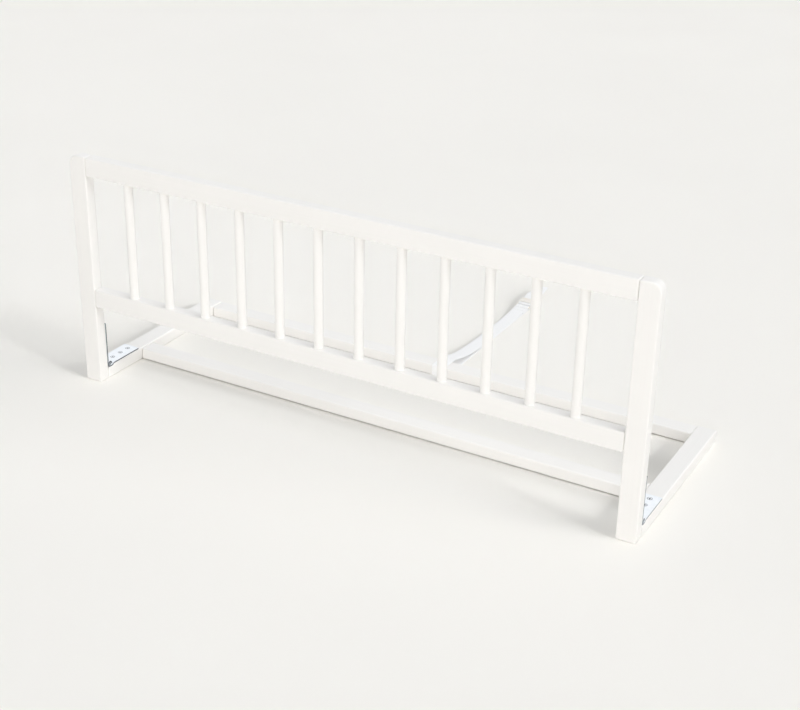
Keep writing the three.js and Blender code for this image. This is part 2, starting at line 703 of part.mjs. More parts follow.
// The belt on the rear rail, with its lock
function belt() {
  const group = new THREE.Group();
  const runs = new THREE.Group();
  runs.setRotationFromMatrix(ALONG_Y_AND_Z);
  runs.add(
    webbing("belt_rail_wrap", railWrapLine()),
    webbing("belt_upper_run", upperRunLine()),
    webbing("belt_lower_run", lowerRunLine()),
    webbing("belt_tail", tailLine()),
  );
  const lock = piece("ladder_lock", ladderLock(), "cream_plastic");
  lock.rotation.x = LOCK_TILT;
  lock.position.set(0, ...LOCK_PLACE);
  group.add(runs, lock);
  group.position.set(BELT_OFFSET, BASE_DEPTH, 0);
  return group;
}

const guard = new THREE.Group();
guard.add(panel(), base(), dowelPins(), belt());
for (const [sideName, side] of [["left", -1], ["right", 1]]) {
  const assembled = hinge(sideName);
  assembled.position.set(side * POST_CENTRE_X, HINGE_Y, HINGE_Z);
  guard.add(assembled);
}
guard.position.y = -BASE_DEPTH / 2;

const root = new THREE.Group();
root.add(guard);

export default root;
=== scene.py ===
"""Looks of a folding bed guard rail: lacquered panel and base, plated hinges, belt and ladder lock.

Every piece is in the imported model's frame, in metres: +X along the guard, +Y to its rear, +Z up.
The belt with its weave is worked out in mm.
"""

import logging
import math
from dataclasses import dataclass
from enum import Enum

import bmesh
import bpy
import numpy as np
from mathutils import Matrix


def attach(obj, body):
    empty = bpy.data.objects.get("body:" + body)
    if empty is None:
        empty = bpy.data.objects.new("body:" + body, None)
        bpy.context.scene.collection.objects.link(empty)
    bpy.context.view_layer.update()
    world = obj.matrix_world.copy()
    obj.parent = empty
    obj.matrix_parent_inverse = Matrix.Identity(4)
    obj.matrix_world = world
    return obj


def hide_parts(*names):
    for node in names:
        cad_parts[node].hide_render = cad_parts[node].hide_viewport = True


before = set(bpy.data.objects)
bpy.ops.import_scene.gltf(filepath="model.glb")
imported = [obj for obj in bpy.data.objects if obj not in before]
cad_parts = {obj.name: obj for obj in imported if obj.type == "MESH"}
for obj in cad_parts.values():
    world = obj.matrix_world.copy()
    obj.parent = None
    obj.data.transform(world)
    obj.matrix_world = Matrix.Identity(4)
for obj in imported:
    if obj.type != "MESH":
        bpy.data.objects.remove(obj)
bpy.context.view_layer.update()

log = logging.getLogger("guard_rail")

Array = np.ndarray
Material = bpy.types.Material
Object = bpy.types.Object
Socket = bpy.types.NodeSocket
Source = Socket | float | tuple[float, ...]
Pair = tuple[float, float]
Triple = tuple[float, float, float]
Screen = tuple[int, int, int]

MM = 0.001
PANEL_FRONT_Y = -0.175

# Where a shell's own X, Y and Z point, for one drawn from the front, from above and from the end
FROM_FRONT = np.array([[1, 0, 0], [0, 0, 1], [0, -1, 0]])
FROM_ABOVE = np.eye(3)
FROM_END = np.array([[0, 1, 0], [0, 0, 1], [1, 0, 0]])

# The same for a hinge leaf on a post, and for a screw on a leaf
ON_POST = np.array([[0, 0, 1], [0, 1, 0], [-1, 0, 0]])
ON_LEAF = np.array([[0, 0, 1], [1, 0, 0], [0, 1, 0]])


class Side(Enum):
    """Which end of the guard a piece belongs to."""

    LEFT = -1
    RIGHT = 1

    @property
    def label(self) -> str:
        """The side's word in the names of its pieces."""
        return self.name.lower()


class Axis(Enum):
    """An axis of the object."""

    X = "x"
    Y = "y"
    Z = "z"


class Body(Enum):
    """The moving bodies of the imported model."""

    BASE = "base"
    PANEL = "panel"


# Surfaces


def grid_quads(rows: int, columns: int, wrap: bool = False) -> Array:
    """Quads between neighbouring rows and columns of a grid whose points are numbered row by row.

    Args:
        rows: Number of rows.
        columns: Number of points in a row.
        wrap: True where the last column joins the first.

    Returns:
        One row of four point numbers for each quad.
    """
    row = np.arange(rows - 1)[:, None] * columns
    column = np.arange(columns if wrap else columns - 1)[None, :]
    following = (column + 1) % columns
    corners = [row + column, row + following, row + columns + following, row + columns + column]
    return np.stack(corners, -1).reshape(-1, 4)


@dataclass
class Shell:
    """A surface as arrays: its points, and its faces in groups that have one number of corners."""

    points: Array
    faces: list[Array]
    uv: Array | None = None

    def volume(self) -> float:
        """Signed volume: the sum over fan triangles of their triple product over six."""
        fans = [self.points[group] for group in self.faces]
        return sum((fan[:, :1] * np.cross(fan[:, 1:-1], fan[:, 2:])).sum() for fan in fans) / 6

    def facing_out(self) -> "Shell":
        """The same shell with its faces turned outwards, by the sign of its volume."""
        faces = [group[:, ::-1] for group in self.faces] if self.volume() < 0 else self.faces
        return Shell(self.points, faces, self.uv)

    def placed(self, axes: Array, offset: Triple) -> "Shell":
        """The shell turned so that its own X, Y and Z point along the rows of axes, then moved."""
        return Shell(self.points @ axes + np.array(offset), self.faces, self.uv)


def joined(shells: list[Shell]) -> Shell:
    """Several shells as one, the points of each numbered after those of the one before.

    Args:
        shells: The shells.

    Returns:
        The shell of all of them, without a map.
    """
    starts = np.cumsum([0] + [len(shell.points) for shell in shells[:-1]])
    faces = [group + start for shell, start in zip(shells, starts) for group in shell.faces]
    return Shell(np.concatenate([shell.points for shell in shells]), faces)


def capped(rings: Array, uv: Array | None = None) -> Shell:
    """A tube through rings of points, closed round each ring, with a flat cap on each end.

    Args:
        rings: The points, ring by ring.
        uv: The map at the same points.

    Returns:
        The closed shell.
    """
    count, points = rings.shape[:2]
    cap = np.arange(points)[None]
    faces = [grid_quads(count, points, wrap=True), cap[:, ::-1], (count - 1) * points + cap]
    return Shell(rings.reshape(-1, 3), faces, uv if uv is None else uv.reshape(-1, 2)).facing_out()


def rectangle(left: float, bottom: float, right: float, top: float) -> Array:
    """The corners of a rectangle, counter-clockwise from the lower left."""
    return np.array([(left, bottom), (right, bottom), (right, top), (left, top)])


@dataclass
class Outline:
    """A closed outline in a plane: its points, counter-clockwise, and its outward normals."""

    points: Array
    normals: Array


def rounded_outline(corners: Array, radii: Array | float, facets: int, support: float) -> Outline:
    """A polygon with an arc at each corner and a support point just beyond each end of the arc.

    At a corner that turns by an angle t, the arc of radius r starts r tan(t / 2) before the corner.
    A point of it is the arc's centre plus r times the normal, which turns evenly from the normal of
    the side before to that of the side after. The sign of t tells outer corners from inner ones.

    Args:
        corners: The polygon's corners, counter-clockwise, one row each.
        radii: The radius of every corner, or of each.
        facets: Facets of each arc.
        support: How far past the arc its support points lie.

    Returns:
        The outline.
    """
    ahead = np.roll(corners, -1, 0) - corners
    ahead /= np.linalg.norm(ahead, axis=1, keepdims=True)
    behind = np.roll(ahead, 1, 0)
    turn = np.arctan2(behind[:, 0] * ahead[:, 1] - behind[:, 1] * ahead[:, 0], (behind * ahead).sum(1))
    bend = (np.sign(turn) * radii)[:, None]
    first_normal = np.stack([behind[:, 1], -behind[:, 0]], 1)
    reach = (radii * np.tan(np.abs(turn) / 2))[:, None]
    centre = corners - behind * reach - bend * first_normal
    angle = np.arctan2(first_normal[:, 1], first_normal[:, 0])[:, None]
    angle = angle + turn[:, None] * np.linspace(0, 1, facets + 1)
    normals = np.stack([np.cos(angle), np.sin(angle)], -1)
    arcs = centre[:, None] + bend[:, None] * normals
    before = arcs[:, :1] - support * behind[:, None]
    after = arcs[:, -1:] + support * ahead[:, None]
    points = np.concatenate([before, arcs, after], 1)
    normals = np.concatenate([normals[:, :1], normals, normals[:, -1:]], 1)
    return Outline(points.reshape(-1, 2), normals.reshape(-1, 2))


def slab(outline: Outline, thickness: float, edges: Pair, facets: int, support: float) -> Shell:
    """A board: an outline through a thickness, with the edges of both faces rounded over.

    Ring b of an edge, for an angle b from 0 to 90 degrees, lies e (1 - sin b) inside the outline
    and e (1 - cos b) in from the face, where e is the edge's radius.

    Args:
        outline: The board's outline.
        thickness: From face to face.
        edges: Radii of the lower and the upper face's rounding.
        facets: Facets of each rounding.
        support: How far past the rounding its support rings lie.

    Returns:
        The closed shell, its outline in XY and its thickness centred on Z.
    """
    sweep = np.linspace(0, math.pi / 2, facets + 1)
    lower, upper = [(np.concatenate([[edge + support], edge * (1 - np.sin(sweep)), [0]]),
                     np.concatenate([[0], edge * (1 - np.cos(sweep)), [edge + support]]) - thickness / 2)
                    for edge in edges]
    inset = np.concatenate([lower[0], upper[0][::-1]])[:, None, None]
    height = np.concatenate([lower[1], -upper[1][::-1]])[:, None, None]
    flat = outline.points - inset * outline.normals
    return capped(np.concatenate([flat, np.broadcast_to(height, flat.shape[:2] + (1,))], -1))


def turned(radius: Array, height: Array, segments: int) -> Shell:
    """A profile turned about Z: x = r cos a, y = r sin a. Its first and last rows are poles.

    Args:
        radius: Radius of each row, or of each point of each row.
        height: Height of each row, or of each point of each row.
        segments: Points round the axis.

    Returns:
        The closed shell.
    """
    angle = np.linspace(0, 2 * math.pi, segments, endpoint=False)
    radius, height = [np.broadcast_to(part if np.ndim(part) == 2 else part[:, None], (len(part), segments))
                      for part in (radius, height)]
    rows = np.stack([radius * np.cos(angle), radius * np.sin(angle), height], -1)[1:-1]
    poles = [[0, 0, height[0].mean()], [0, 0, height[-1].mean()]]
    count, last = len(rows) * segments, (len(rows) - 1) * segments
    here = np.arange(segments)
    there = (here + 1) % segments
    first_fan = np.stack([np.full(segments, count), there, here], 1)
    last_fan = np.stack([np.full(segments, count + 1), last + here, last + there], 1)
    quads = grid_quads(len(rows), segments, wrap=True)
    return Shell(np.concatenate([rows.reshape(-1, 3), poles]), [quads, first_fan, last_fan]).facing_out()


def domed_rod(radius: float, half: float, dome: float, facets: int, segments: int) -> Shell:
    """A rod along X with domed ends: radius r cos a at h - d (1 - sin a), for a from 0 to 90 degrees.

    Args:
        radius: The rod's radius, r.
        half: Half its length with the domes, h.
        dome: Rise of each dome, d.
        facets: Facets of each dome.
        segments: Points round the rod.

    Returns:
        The closed shell, its middle at the origin.
    """
    sweep = np.linspace(0, math.pi / 2, facets + 1)
    profile, rise = radius * np.cos(sweep), half - dome * (1 - np.sin(sweep))
    profile[-1] = 0
    rod = turned(np.concatenate([profile[::-1], profile]), np.concatenate([-rise[::-1], rise]), segments)
    return rod.placed(FROM_END, (0, 0, 0))


def smoothed(mesh: bpy.types.Mesh, crease: float) -> None:
    """Shades a mesh smooth but for edges sharper than the crease, in degrees."""
    mesh.shade_smooth()
    mesh.set_sharp_from_angle(angle=math.radians(crease))


def made_mesh(name: str, shell: Shell, crease: float) -> bpy.types.Mesh:
    """A Blender mesh of a shell.

    Args:
        name: The mesh's name.
        shell: The surface.
        crease: The angle, in degrees, past which an edge is sharp.

    Returns:
        The mesh.
    """
    mesh = bpy.data.meshes.new(name)
    corners = np.concatenate([group.ravel() for group in shell.faces]).astype(np.int32)
    counts = np.concatenate([np.full(len(group), group.shape[1]) for group in shell.faces])
    mesh.vertices.add(len(shell.points))
    mesh.vertices.foreach_set("co", shell.points.astype(np.float32).ravel())
    mesh.loops.add(len(corners))
    mesh.loops.foreach_set("vertex_index", corners)
    mesh.polygons.add(len(counts))
    mesh.polygons.foreach_set("loop_start", np.concatenate([[0], np.cumsum(counts)[:-1]]).astype(np.int32))
    mesh.update(calc_edges=True)
    mesh.validate()
    if shell.uv is not None:
        layer = mesh.uv_layers.new(name="UVMap")
        layer.uv.foreach_set("vector", shell.uv[corners].astype(np.float32).ravel())
    smoothed(mesh, crease)
    return mesh


def in_scene(name: str, data: bpy.types.ID) -> Object:
    """A new object in the scene.

    Args:
        name: The object's name.
        data: Its mesh, curve, lamp or camera.

    Returns:
        The object.
    """
    made = bpy.data.objects.new(name, data)
    bpy.context.scene.collection.objects.link(made)
    return made


# Finishes


def colour(screen: Screen) -> tuple[float, ...]:
    """A screen colour as linear light: ((c + 0.055) / 1.055) to the power 2.4 above the toe.

    Args:
        screen: Red, green and blue, from 0 to 255.

    Returns:
        Red, green, blue and an alpha of 1.
    """
    parts = np.array(screen) / 255
    linear = np.where(parts <= 0.04045, parts / 12.92, ((parts + 0.055) / 1.055) ** 2.4)
    return (*map(float, linear), 1.0)


class Recipe:
    """The node tree of one material or world, with short calls for the nodes that it needs."""

    def __init__(self, owner: Material | bpy.types.World, shader: str = "Principled BSDF") -> None:
        """Starts the tree.

        Args:
            owner: The new material or world.
            shader: The name of its shader's node.
        """
        self.owner = owner
        owner.use_nodes = True
        self.shader = owner.node_tree.nodes[shader]

    def wire(self, source: Source, target: Socket) -> None:
        """Joins an output to an input, or sets the input where the source is a plain value.

        Args:
            source: The output or the value.
            target: The input.
        """
        if isinstance(source, Socket):
            self.owner.node_tree.links.new(source, target)
        else:
            target.default_value = source

    def node(self, kind: str, output: str | int, inputs: dict[str | int, Source], **settings: str) -> Socket:
        """Makes a node.

        Args:
            kind: Its type, without the words that all types start with.
            output: The name or number of the output that is wanted.
            inputs: What goes into its inputs, by name or number.
            settings: Its own settings.

        Returns:
            The output.
        """
        made = self.owner.node_tree.nodes.new(f"ShaderNode{kind}")
        for key, value in settings.items():
            setattr(made, key, value)
        for key, source in inputs.items():
            self.wire(source, made.inputs[key])
        return made.outputs[output]

    def places(self, layer: str, stretch: Triple) -> Socket:
        """Texture places from Object or UV coordinates, times a stretch along each axis."""
        return self.node("Mapping", 0, {"Vector": self.node("TexCoord", layer, {}), "Scale": stretch})

    def map_parts(self, scale: float) -> tuple[Socket, Socket]:
        """The two numbers of the piece's own map, in metres, times a scale."""
        parts = self.node("SeparateXYZ", 0, {0: self.places("UV", (scale, scale, 1.0))}).node.outputs
        return parts[0], parts[1]

    def noise(self, stretch: Triple, scale: float = 1.0, detail: float = 2, rough: float = 0.5,
              layer: str = "Object") -> Socket:
        """Smooth noise between 0 and 1.

        Args:
            stretch: How much finer it is along each axis.
            scale: How much finer it is along all of them.
            detail: Number of finer layers in it.
            rough: Weight of each layer against the one before.
            layer: The coordinates that it lies in, Object or UV.

        Returns:
            The noise.
        """
        inputs = {"Vector": self.places(layer, stretch), "Scale": scale, "Detail": detail, "Roughness": rough}
        return self.node("TexNoise", 0, inputs)

    def maths(self, operation: str, *numbers: Source) -> Socket:
        """The result of an operation on one to three numbers."""
        return self.node("Math", 0, dict(enumerate(numbers)), operation=operation)

    def weighted(self, *parts: tuple[Socket, float]) -> Socket:
        """A weighted sum.

        Args:
            parts: Each number with its weight.

        Returns:
            The sum.
        """
        total = self.maths("MULTIPLY", *parts[0])
        for part in parts[1:]:
            total = self.maths("MULTIPLY_ADD", *part, total)
        return total

    def spread(self, source: Socket, span: Pair, to: Pair) -> Socket:
        """A number moved from one span to another, kept within its ends."""
        ends = {"From Min": span[0], "From Max": span[1], "To Min": to[0], "To Max": to[1]}
        return self.node("MapRange", 0, {"Value": source, **ends})

    def ramp(self, source: Socket, stops: Pair, deep: Screen, pale: Screen) -> Socket:
        """A colour that goes from deep to pale along a number.

        Args:
            source: The number.
            stops: Where along it the deep and the pale colour stand.
            deep: The colour at the first stop.
            pale: The colour at the second.

        Returns:
            The colour.
        """
        made = self.node("ValToRGB", "Color", {"Fac": source})
        for element, place, screen in zip(made.node.color_ramp.elements, stops, (deep, pale)):
            element.position = place
            element.color = colour(screen)
        return made

    def blended(self, share: Socket, first: Socket, second: Screen) -> Socket:
        """A colour between two, by a share of the second. The node's colours are inputs 6 and 7."""
        return self.node("Mix", 2, {0: share, 6: first, 7: colour(second)}, data_type="RGBA")

    def relief(self, height: Socket, depth: float, strength: float) -> None:
        """Bumps on the shader, as deep as depth where the height is 1. Strength is how much shows."""
        bumps = self.node("Bump", "Normal", {"Height": height, "Distance": depth, "Strength": strength})
        self.set(normal=bumps)

    def set(self, **values: Source) -> None:
        """Sets or wires the shader's sockets, their names in lower case with underscores."""
        for key, value in values.items():
            self.wire(value, self.shader.inputs[key.replace("_", " ").title().replace("Ior", "IOR")])


@dataclass(frozen=True)
class Lacquer:
    """White lacquer over planed timber: a faint grain along the piece under a soft satin film."""

    grain: Axis
    pale: Screen = (248, 246, 243)
    deep: Screen = (245, 243, 240)

    def drawn_out(self, across: float, along: float) -> Triple:
        """The stretch of a pattern that runs along the grain."""
        return tuple(along if axis is self.grain else across for axis in Axis)

    def material(self) -> Material:
        """Makes the lacquer.

        Returns:
            The material, its grain along one axis of the object.
        """
        mix = Recipe(bpy.data.materials.new(f"white_lacquer_{self.grain.value}"))
        grain = mix.noise(self.drawn_out(900.0, 14.0), scale=0.35, detail=5, rough=0.6)
        pores = mix.noise(self.drawn_out(2600.0, 90.0), scale=0.5)
        broad = mix.noise((7.0, 7.0, 7.0), detail=3, rough=0.55)
        film = mix.noise((420.0, 420.0, 420.0))
        tone = mix.weighted((broad, 0.55), (grain, 0.45))
        mix.set(base_color=mix.ramp(tone, (0.32, 0.62), self.deep, self.pale),
                roughness=mix.spread(tone, (0.3, 0.7), (0.5, 0.38)), specular_ior_level=0.4)
        mix.relief(mix.weighted((film, 0.3), (grain, 0.5), (pores, 0.2)), depth=0.08 * MM, strength=0.35)
        return mix.owner


@dataclass(frozen=True)
class Beech:
    """Bare beech of the glued dowel pins, with short darker flecks along the grain."""

    pale: Screen = (224, 191, 150)
    deep: Screen = (190, 148, 102)

    def material(self) -> Material:
        """Makes the beech.

        Returns:
            The material.
        """
        mix = Recipe(bpy.data.materials.new("beech"))
        grain = mix.noise((30.0, 700.0, 700.0), scale=0.8, detail=4, rough=0.6)
        flecks = mix.noise((260.0, 1900.0, 1900.0))
        tone = mix.weighted((grain, 0.65), (flecks, 0.35))
        mix.set(base_color=mix.ramp(tone, (0.3, 0.7), self.deep, self.pale),
                roughness=mix.spread(tone, (0.2, 0.8), (0.75, 0.6)))
        mix.relief(tone, depth=0.1 * MM, strength=0.5)
        return mix.owner


class Grime(Enum):
    """Where shade is painted onto a plated piece as a dark colour."""

    NOWHERE = "nowhere"
    SCREW_RINGS = "screw rings"
    RECESS = "recess"


@dataclass(frozen=True)
class ZincPlate:
    """Bright zinc plate with fine rolling marks, and painted shade: a dark colour in the screws' gaps and
    recesses.
    """

    name: str = "zinc_plate"
    pale: Screen = (250, 252, 254)
    deep: Screen = (236, 240, 245)
    painted_shade_colour: Screen = (44, 48, 54)
    grime: Grime = Grime.NOWHERE
    first_screw: float = 25.3 * MM
    screw_pitch: float = 20.2 * MM
    ring_edge: Pair = (3.8 * MM, 4.2 * MM)
    recess_depth: Pair = (0.08 * MM, 0.4 * MM)
    head_rim: Pair = (3.1 * MM, 3.4 * MM)

    def material(self) -> Material:
        """Makes the plate.

        Returns:
            The material.
        """
        mix = Recipe(bpy.data.materials.new(self.name))
        cloud = mix.noise((160.0, 160.0, 160.0), detail=4, rough=0.6)
        marks = mix.noise((2600.0, 130.0, 130.0), detail=3, rough=0.6)
        tone = mix.weighted((cloud, 0.6), (marks, 0.4))
        shade = mix.ramp(tone, (0.3, 0.68), self.deep, self.pale)
        rough = mix.spread(tone, (0.25, 0.75), (0.42, 0.26))
        # Painted shade: a dark colour is blended in where the screws' gaps and recesses lie in shade.
        if self.grime is not Grime.NOWHERE:
            shade_mask = self.screw_rings(mix) if self.grime is Grime.SCREW_RINGS else self.recess(mix)
            shade = mix.blended(shade_mask, shade, self.painted_shade_colour)
            rough = mix.maths("MULTIPLY_ADD", shade_mask, 0.3, rough)
        mix.set(base_color=shade, metallic=1.0, roughness=rough)
        mix.relief(marks, depth=0.03 * MM, strength=0.4)
        return mix.owner

    def screw_rings(self, mix: Recipe) -> Socket:
        """Painted shade of the gap in and round each countersink: 1 nearer than about 4 mm to a screw's
        place.

        The place along the leaf is wrapped to within half a pitch of a screw, and the distance is the
        root of its square plus the square of the place across. The curl, past the first screw, has none.

        Args:
            mix: The material's recipe.

        Returns:
            A number from 0 to 1.
        """
        along, across = mix.map_parts(1.0)
        half = self.screw_pitch / 2
        wrapped = mix.maths("WRAP", mix.maths("SUBTRACT", along, self.first_screw), half, -half)
        squares = mix.maths("MULTIPLY_ADD", wrapped, wrapped, mix.maths("POWER", across, 2.0))
        ring = mix.spread(mix.maths("SQRT", squares), self.ring_edge, (1.0, 0.0))
        return mix.maths("MULTIPLY", ring, mix.maths("GREATER_THAN", along, self.first_screw - half))

    def recess(self, mix: Recipe) -> Socket:
        """Painted shade in a screw's cross recess and round its head's rim, by the depth and the distance
        out.

        Args:
            mix: The material's recipe.

        Returns:
            A number from 0 to 1.
        """
        out, down = mix.map_parts(1.0)
        deep = mix.spread(down, self.recess_depth, (0.0, 1.0))
        return mix.maths("MAXIMUM", deep, mix.spread(out, self.head_rim, (0.0, 1.0)))


@dataclass(frozen=True)
class Weave:
    """Flat woven webbing, in mm: ribs along the belt, crossed by picks that step from rib to rib."""

    rib: float = 1.05
    pick: float = 1.5
    pale: Screen = (255, 255, 255)
    deep: Screen = (251, 251, 252)

    def material(self) -> Material:
        """Makes the webbing. Its height is |sin| over each rib, to the power 0.6, times the picks' wave.

        Returns:
            The material, which reads the belt's own map.
        """
        mix = Recipe(bpy.data.materials.new("webbing"))
        u, v = mix.map_parts(1 / MM)
        across, along = mix.maths("DIVIDE", u, self.rib), mix.maths("DIVIDE", v, self.pick)
        step = mix.maths("MULTIPLY", mix.maths("FLOOR", across), 0.5)
        crown = mix.maths("ABSOLUTE", mix.maths("SINE", mix.maths("MULTIPLY", across, math.pi)))
        turn = mix.maths("MULTIPLY", mix.maths("ADD", along, step), 2 * math.pi)
        wave = mix.maths("MULTIPLY_ADD", mix.maths("SINE", turn), 0.25, 0.75)
        height = mix.maths("MULTIPLY", mix.maths("POWER", crown, 0.6), wave)
        fuzz = mix.noise((3000.0, 3000.0, 1.0), detail=3, rough=0.6, layer="UV")
        broad = mix.noise((60.0, 25.0, 1.0), layer="UV")
        # Partly painted shade: the colour is a little darker in the weave's hollows, where its height is low;
        # the rest is random tone.
        tone = mix.weighted((broad, 0.4), (height, 0.6))
        mix.set(base_color=mix.ramp(tone, (0.15, 0.7), self.deep, self.pale),
                roughness=mix.spread(fuzz, (0.2, 0.8), (0.72, 0.9)),
                sheen_weight=0.25, sheen_roughness=0.5, specular_ior_level=0.3)
        mix.relief(mix.maths("MULTIPLY_ADD", fuzz, 0.15, height), depth=0.2 * MM, strength=0.5)
        return mix.owner


@dataclass(frozen=True)
class Moulding:
    """Matt moulded plastic with a fine spark-eroded skin."""

    name: str
    pale: Screen
    deep: Screen
    smooth: float = 0.42
    rougher: float = 0.12

    def material(self) -> Material:
        """Makes the plastic.

        Returns:
            The material.
        """
        mix = Recipe(bpy.data.materials.new(self.name))
        skin = mix.noise((2200.0, 2200.0, 2200.0), detail=3, rough=0.6)
        cloud = mix.noise((90.0, 90.0, 90.0))
        mix.set(base_color=mix.ramp(cloud, (0.35, 0.65), self.deep, self.pale),
                roughness=mix.spread(skin, (0.3, 0.7), (self.smooth, self.smooth + self.rougher)))
        mix.relief(skin, depth=0.04 * MM, strength=0.5)
        return mix.owner


@dataclass(frozen=True)
class FloorPaper:
    """Pale seamless paper under the guard, nearly plain."""

    pale: Screen = (250, 248, 243)
    deep: Screen = (249, 247, 242)

    def material(self) -> Material:
        """Makes the paper.

        Returns:
            The material.
        """
        mix = Recipe(bpy.data.materials.new("floor_paper"))
        shade = mix.ramp(mix.noise((1.5, 1.5, 1.5)), (0.4, 0.6), self.deep, self.pale)
        mix.set(base_color=shade, roughness=1.0, specular_ior_level=0.0)
        return mix.owner


class Finishes:
    """Every finish of the guard, made once and shared by its pieces."""

    def __init__(self) -> None:
        """Makes the materials."""
        self.lacquer = {axis: Lacquer(axis).material() for axis in Axis}
        self.beech = Beech().material()
        self.zinc = ZincPlate().material()
        # Painted shade: a dark ring round each countersink stands in for the shade of the gap there.
        self.leaf = ZincPlate("zinc_plate_leaf", grime=Grime.SCREW_RINGS).material()
        # Painted shade: a dark copy of the plate for the leaves' edge walls, standing in for their shade.
        self.sheared = ZincPlate("zinc_plate_edge_painted_shade", (128, 134, 141), (88, 94, 101)).material()
        # Painted shade: a dark colour in each screw's cross recess and round its head's rim.
        self.screw = ZincPlate("zinc_plate_screw", grime=Grime.RECESS).material()
        # Painted shade: the pin's plate is darker than the leaves', standing in for the shade at the barrel's
        # ends.
        self.pin = ZincPlate("zinc_plate_pin_painted_shade", (176, 182, 189), (132, 139, 147)).material()
        self.webbing = Weave().material()
        self.plastic = Moulding("cream_plastic", (250, 246, 239), (246, 241, 233)).material()
        self.thread = Moulding("stitching_thread", (244, 244, 242), (226, 226, 224), 0.7).material()

    def dress_frame(self) -> None:
        """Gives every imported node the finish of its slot, whether it stays in view or is replaced."""
        by_slot = {"white_lacquer": self.lacquer[Axis.X], "beech": self.beech, "zinc_plate": self.zinc,
                   "webbing": self.webbing, "cream_plastic": self.plastic}
        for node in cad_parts.values():
            for slot in node.material_slots:
                slot.material = by_slot[slot.material.name.split(".")[0]]
        log.info("dressed %d packed nodes", len(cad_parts))


def add_piece(name: str, mesh: bpy.types.Mesh, finish: Material, body: Body,
              nodes: tuple[str, ...] = ()) -> Object:
    """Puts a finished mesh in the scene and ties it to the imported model.

    Args:
        name: The piece's name.
        mesh: Its mesh, already in place.
        finish: Its material.
        body: The body that it rides on.
        nodes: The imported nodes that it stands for.

    Returns:
        The object.
    """
    piece = in_scene(name, mesh)
    mesh.materials.append(finish)
    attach(piece, body.value)
    if nodes:
        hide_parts(*nodes)
    log.info("%s: %d faces on %s", name, len(mesh.polygons), body.value)
    return piece


# Timber


@dataclass(frozen=True)
class Timber:
    """The panel and the base are of the same timber: how it is rounded, and how it is coated."""

    finishes: Finishes
    edge: float = 2.5 * MM
    corner: float = 3 * MM
    support: float = 0.4 * MM
    facets: int = 8

    def board(self, corners: Array, thickness: float, radii: dict[int, float] | None = None,
              facets: int | None = None, lower_edge: float | None = None) -> Shell:
        """A rounded board.

        Args:
            corners: The outline's corners, counter-clockwise.
            thickness: From face to face.
            radii: Radii of corners that differ from the rest, by number.
            facets: Facets of each corner, where it differs from the rest.
            lower_edge: Radius of the lower face's edges, where it differs from the upper's.

        Returns:
            The board with its outline in XY and its middle plane at Z zero.
        """
        sizes = np.full(len(corners), self.corner)
        for number, radius in (radii or {}).items():
            sizes[number] = radius
        outline = rounded_outline(corners, sizes, facets or self.facets, self.support)
        return slab(outline, thickness, (lower_edge or self.edge, self.edge), self.facets, self.support)

    def coat(self, node: str, shell: Shell, grain: Axis, body: Body) -> None:
        """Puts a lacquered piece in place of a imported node, its grain along an axis."""
        add_piece(f"{node}_lacquered", made_mesh(node, shell, crease=40), self.finishes.lacquer[grain],
                  body, (node,))


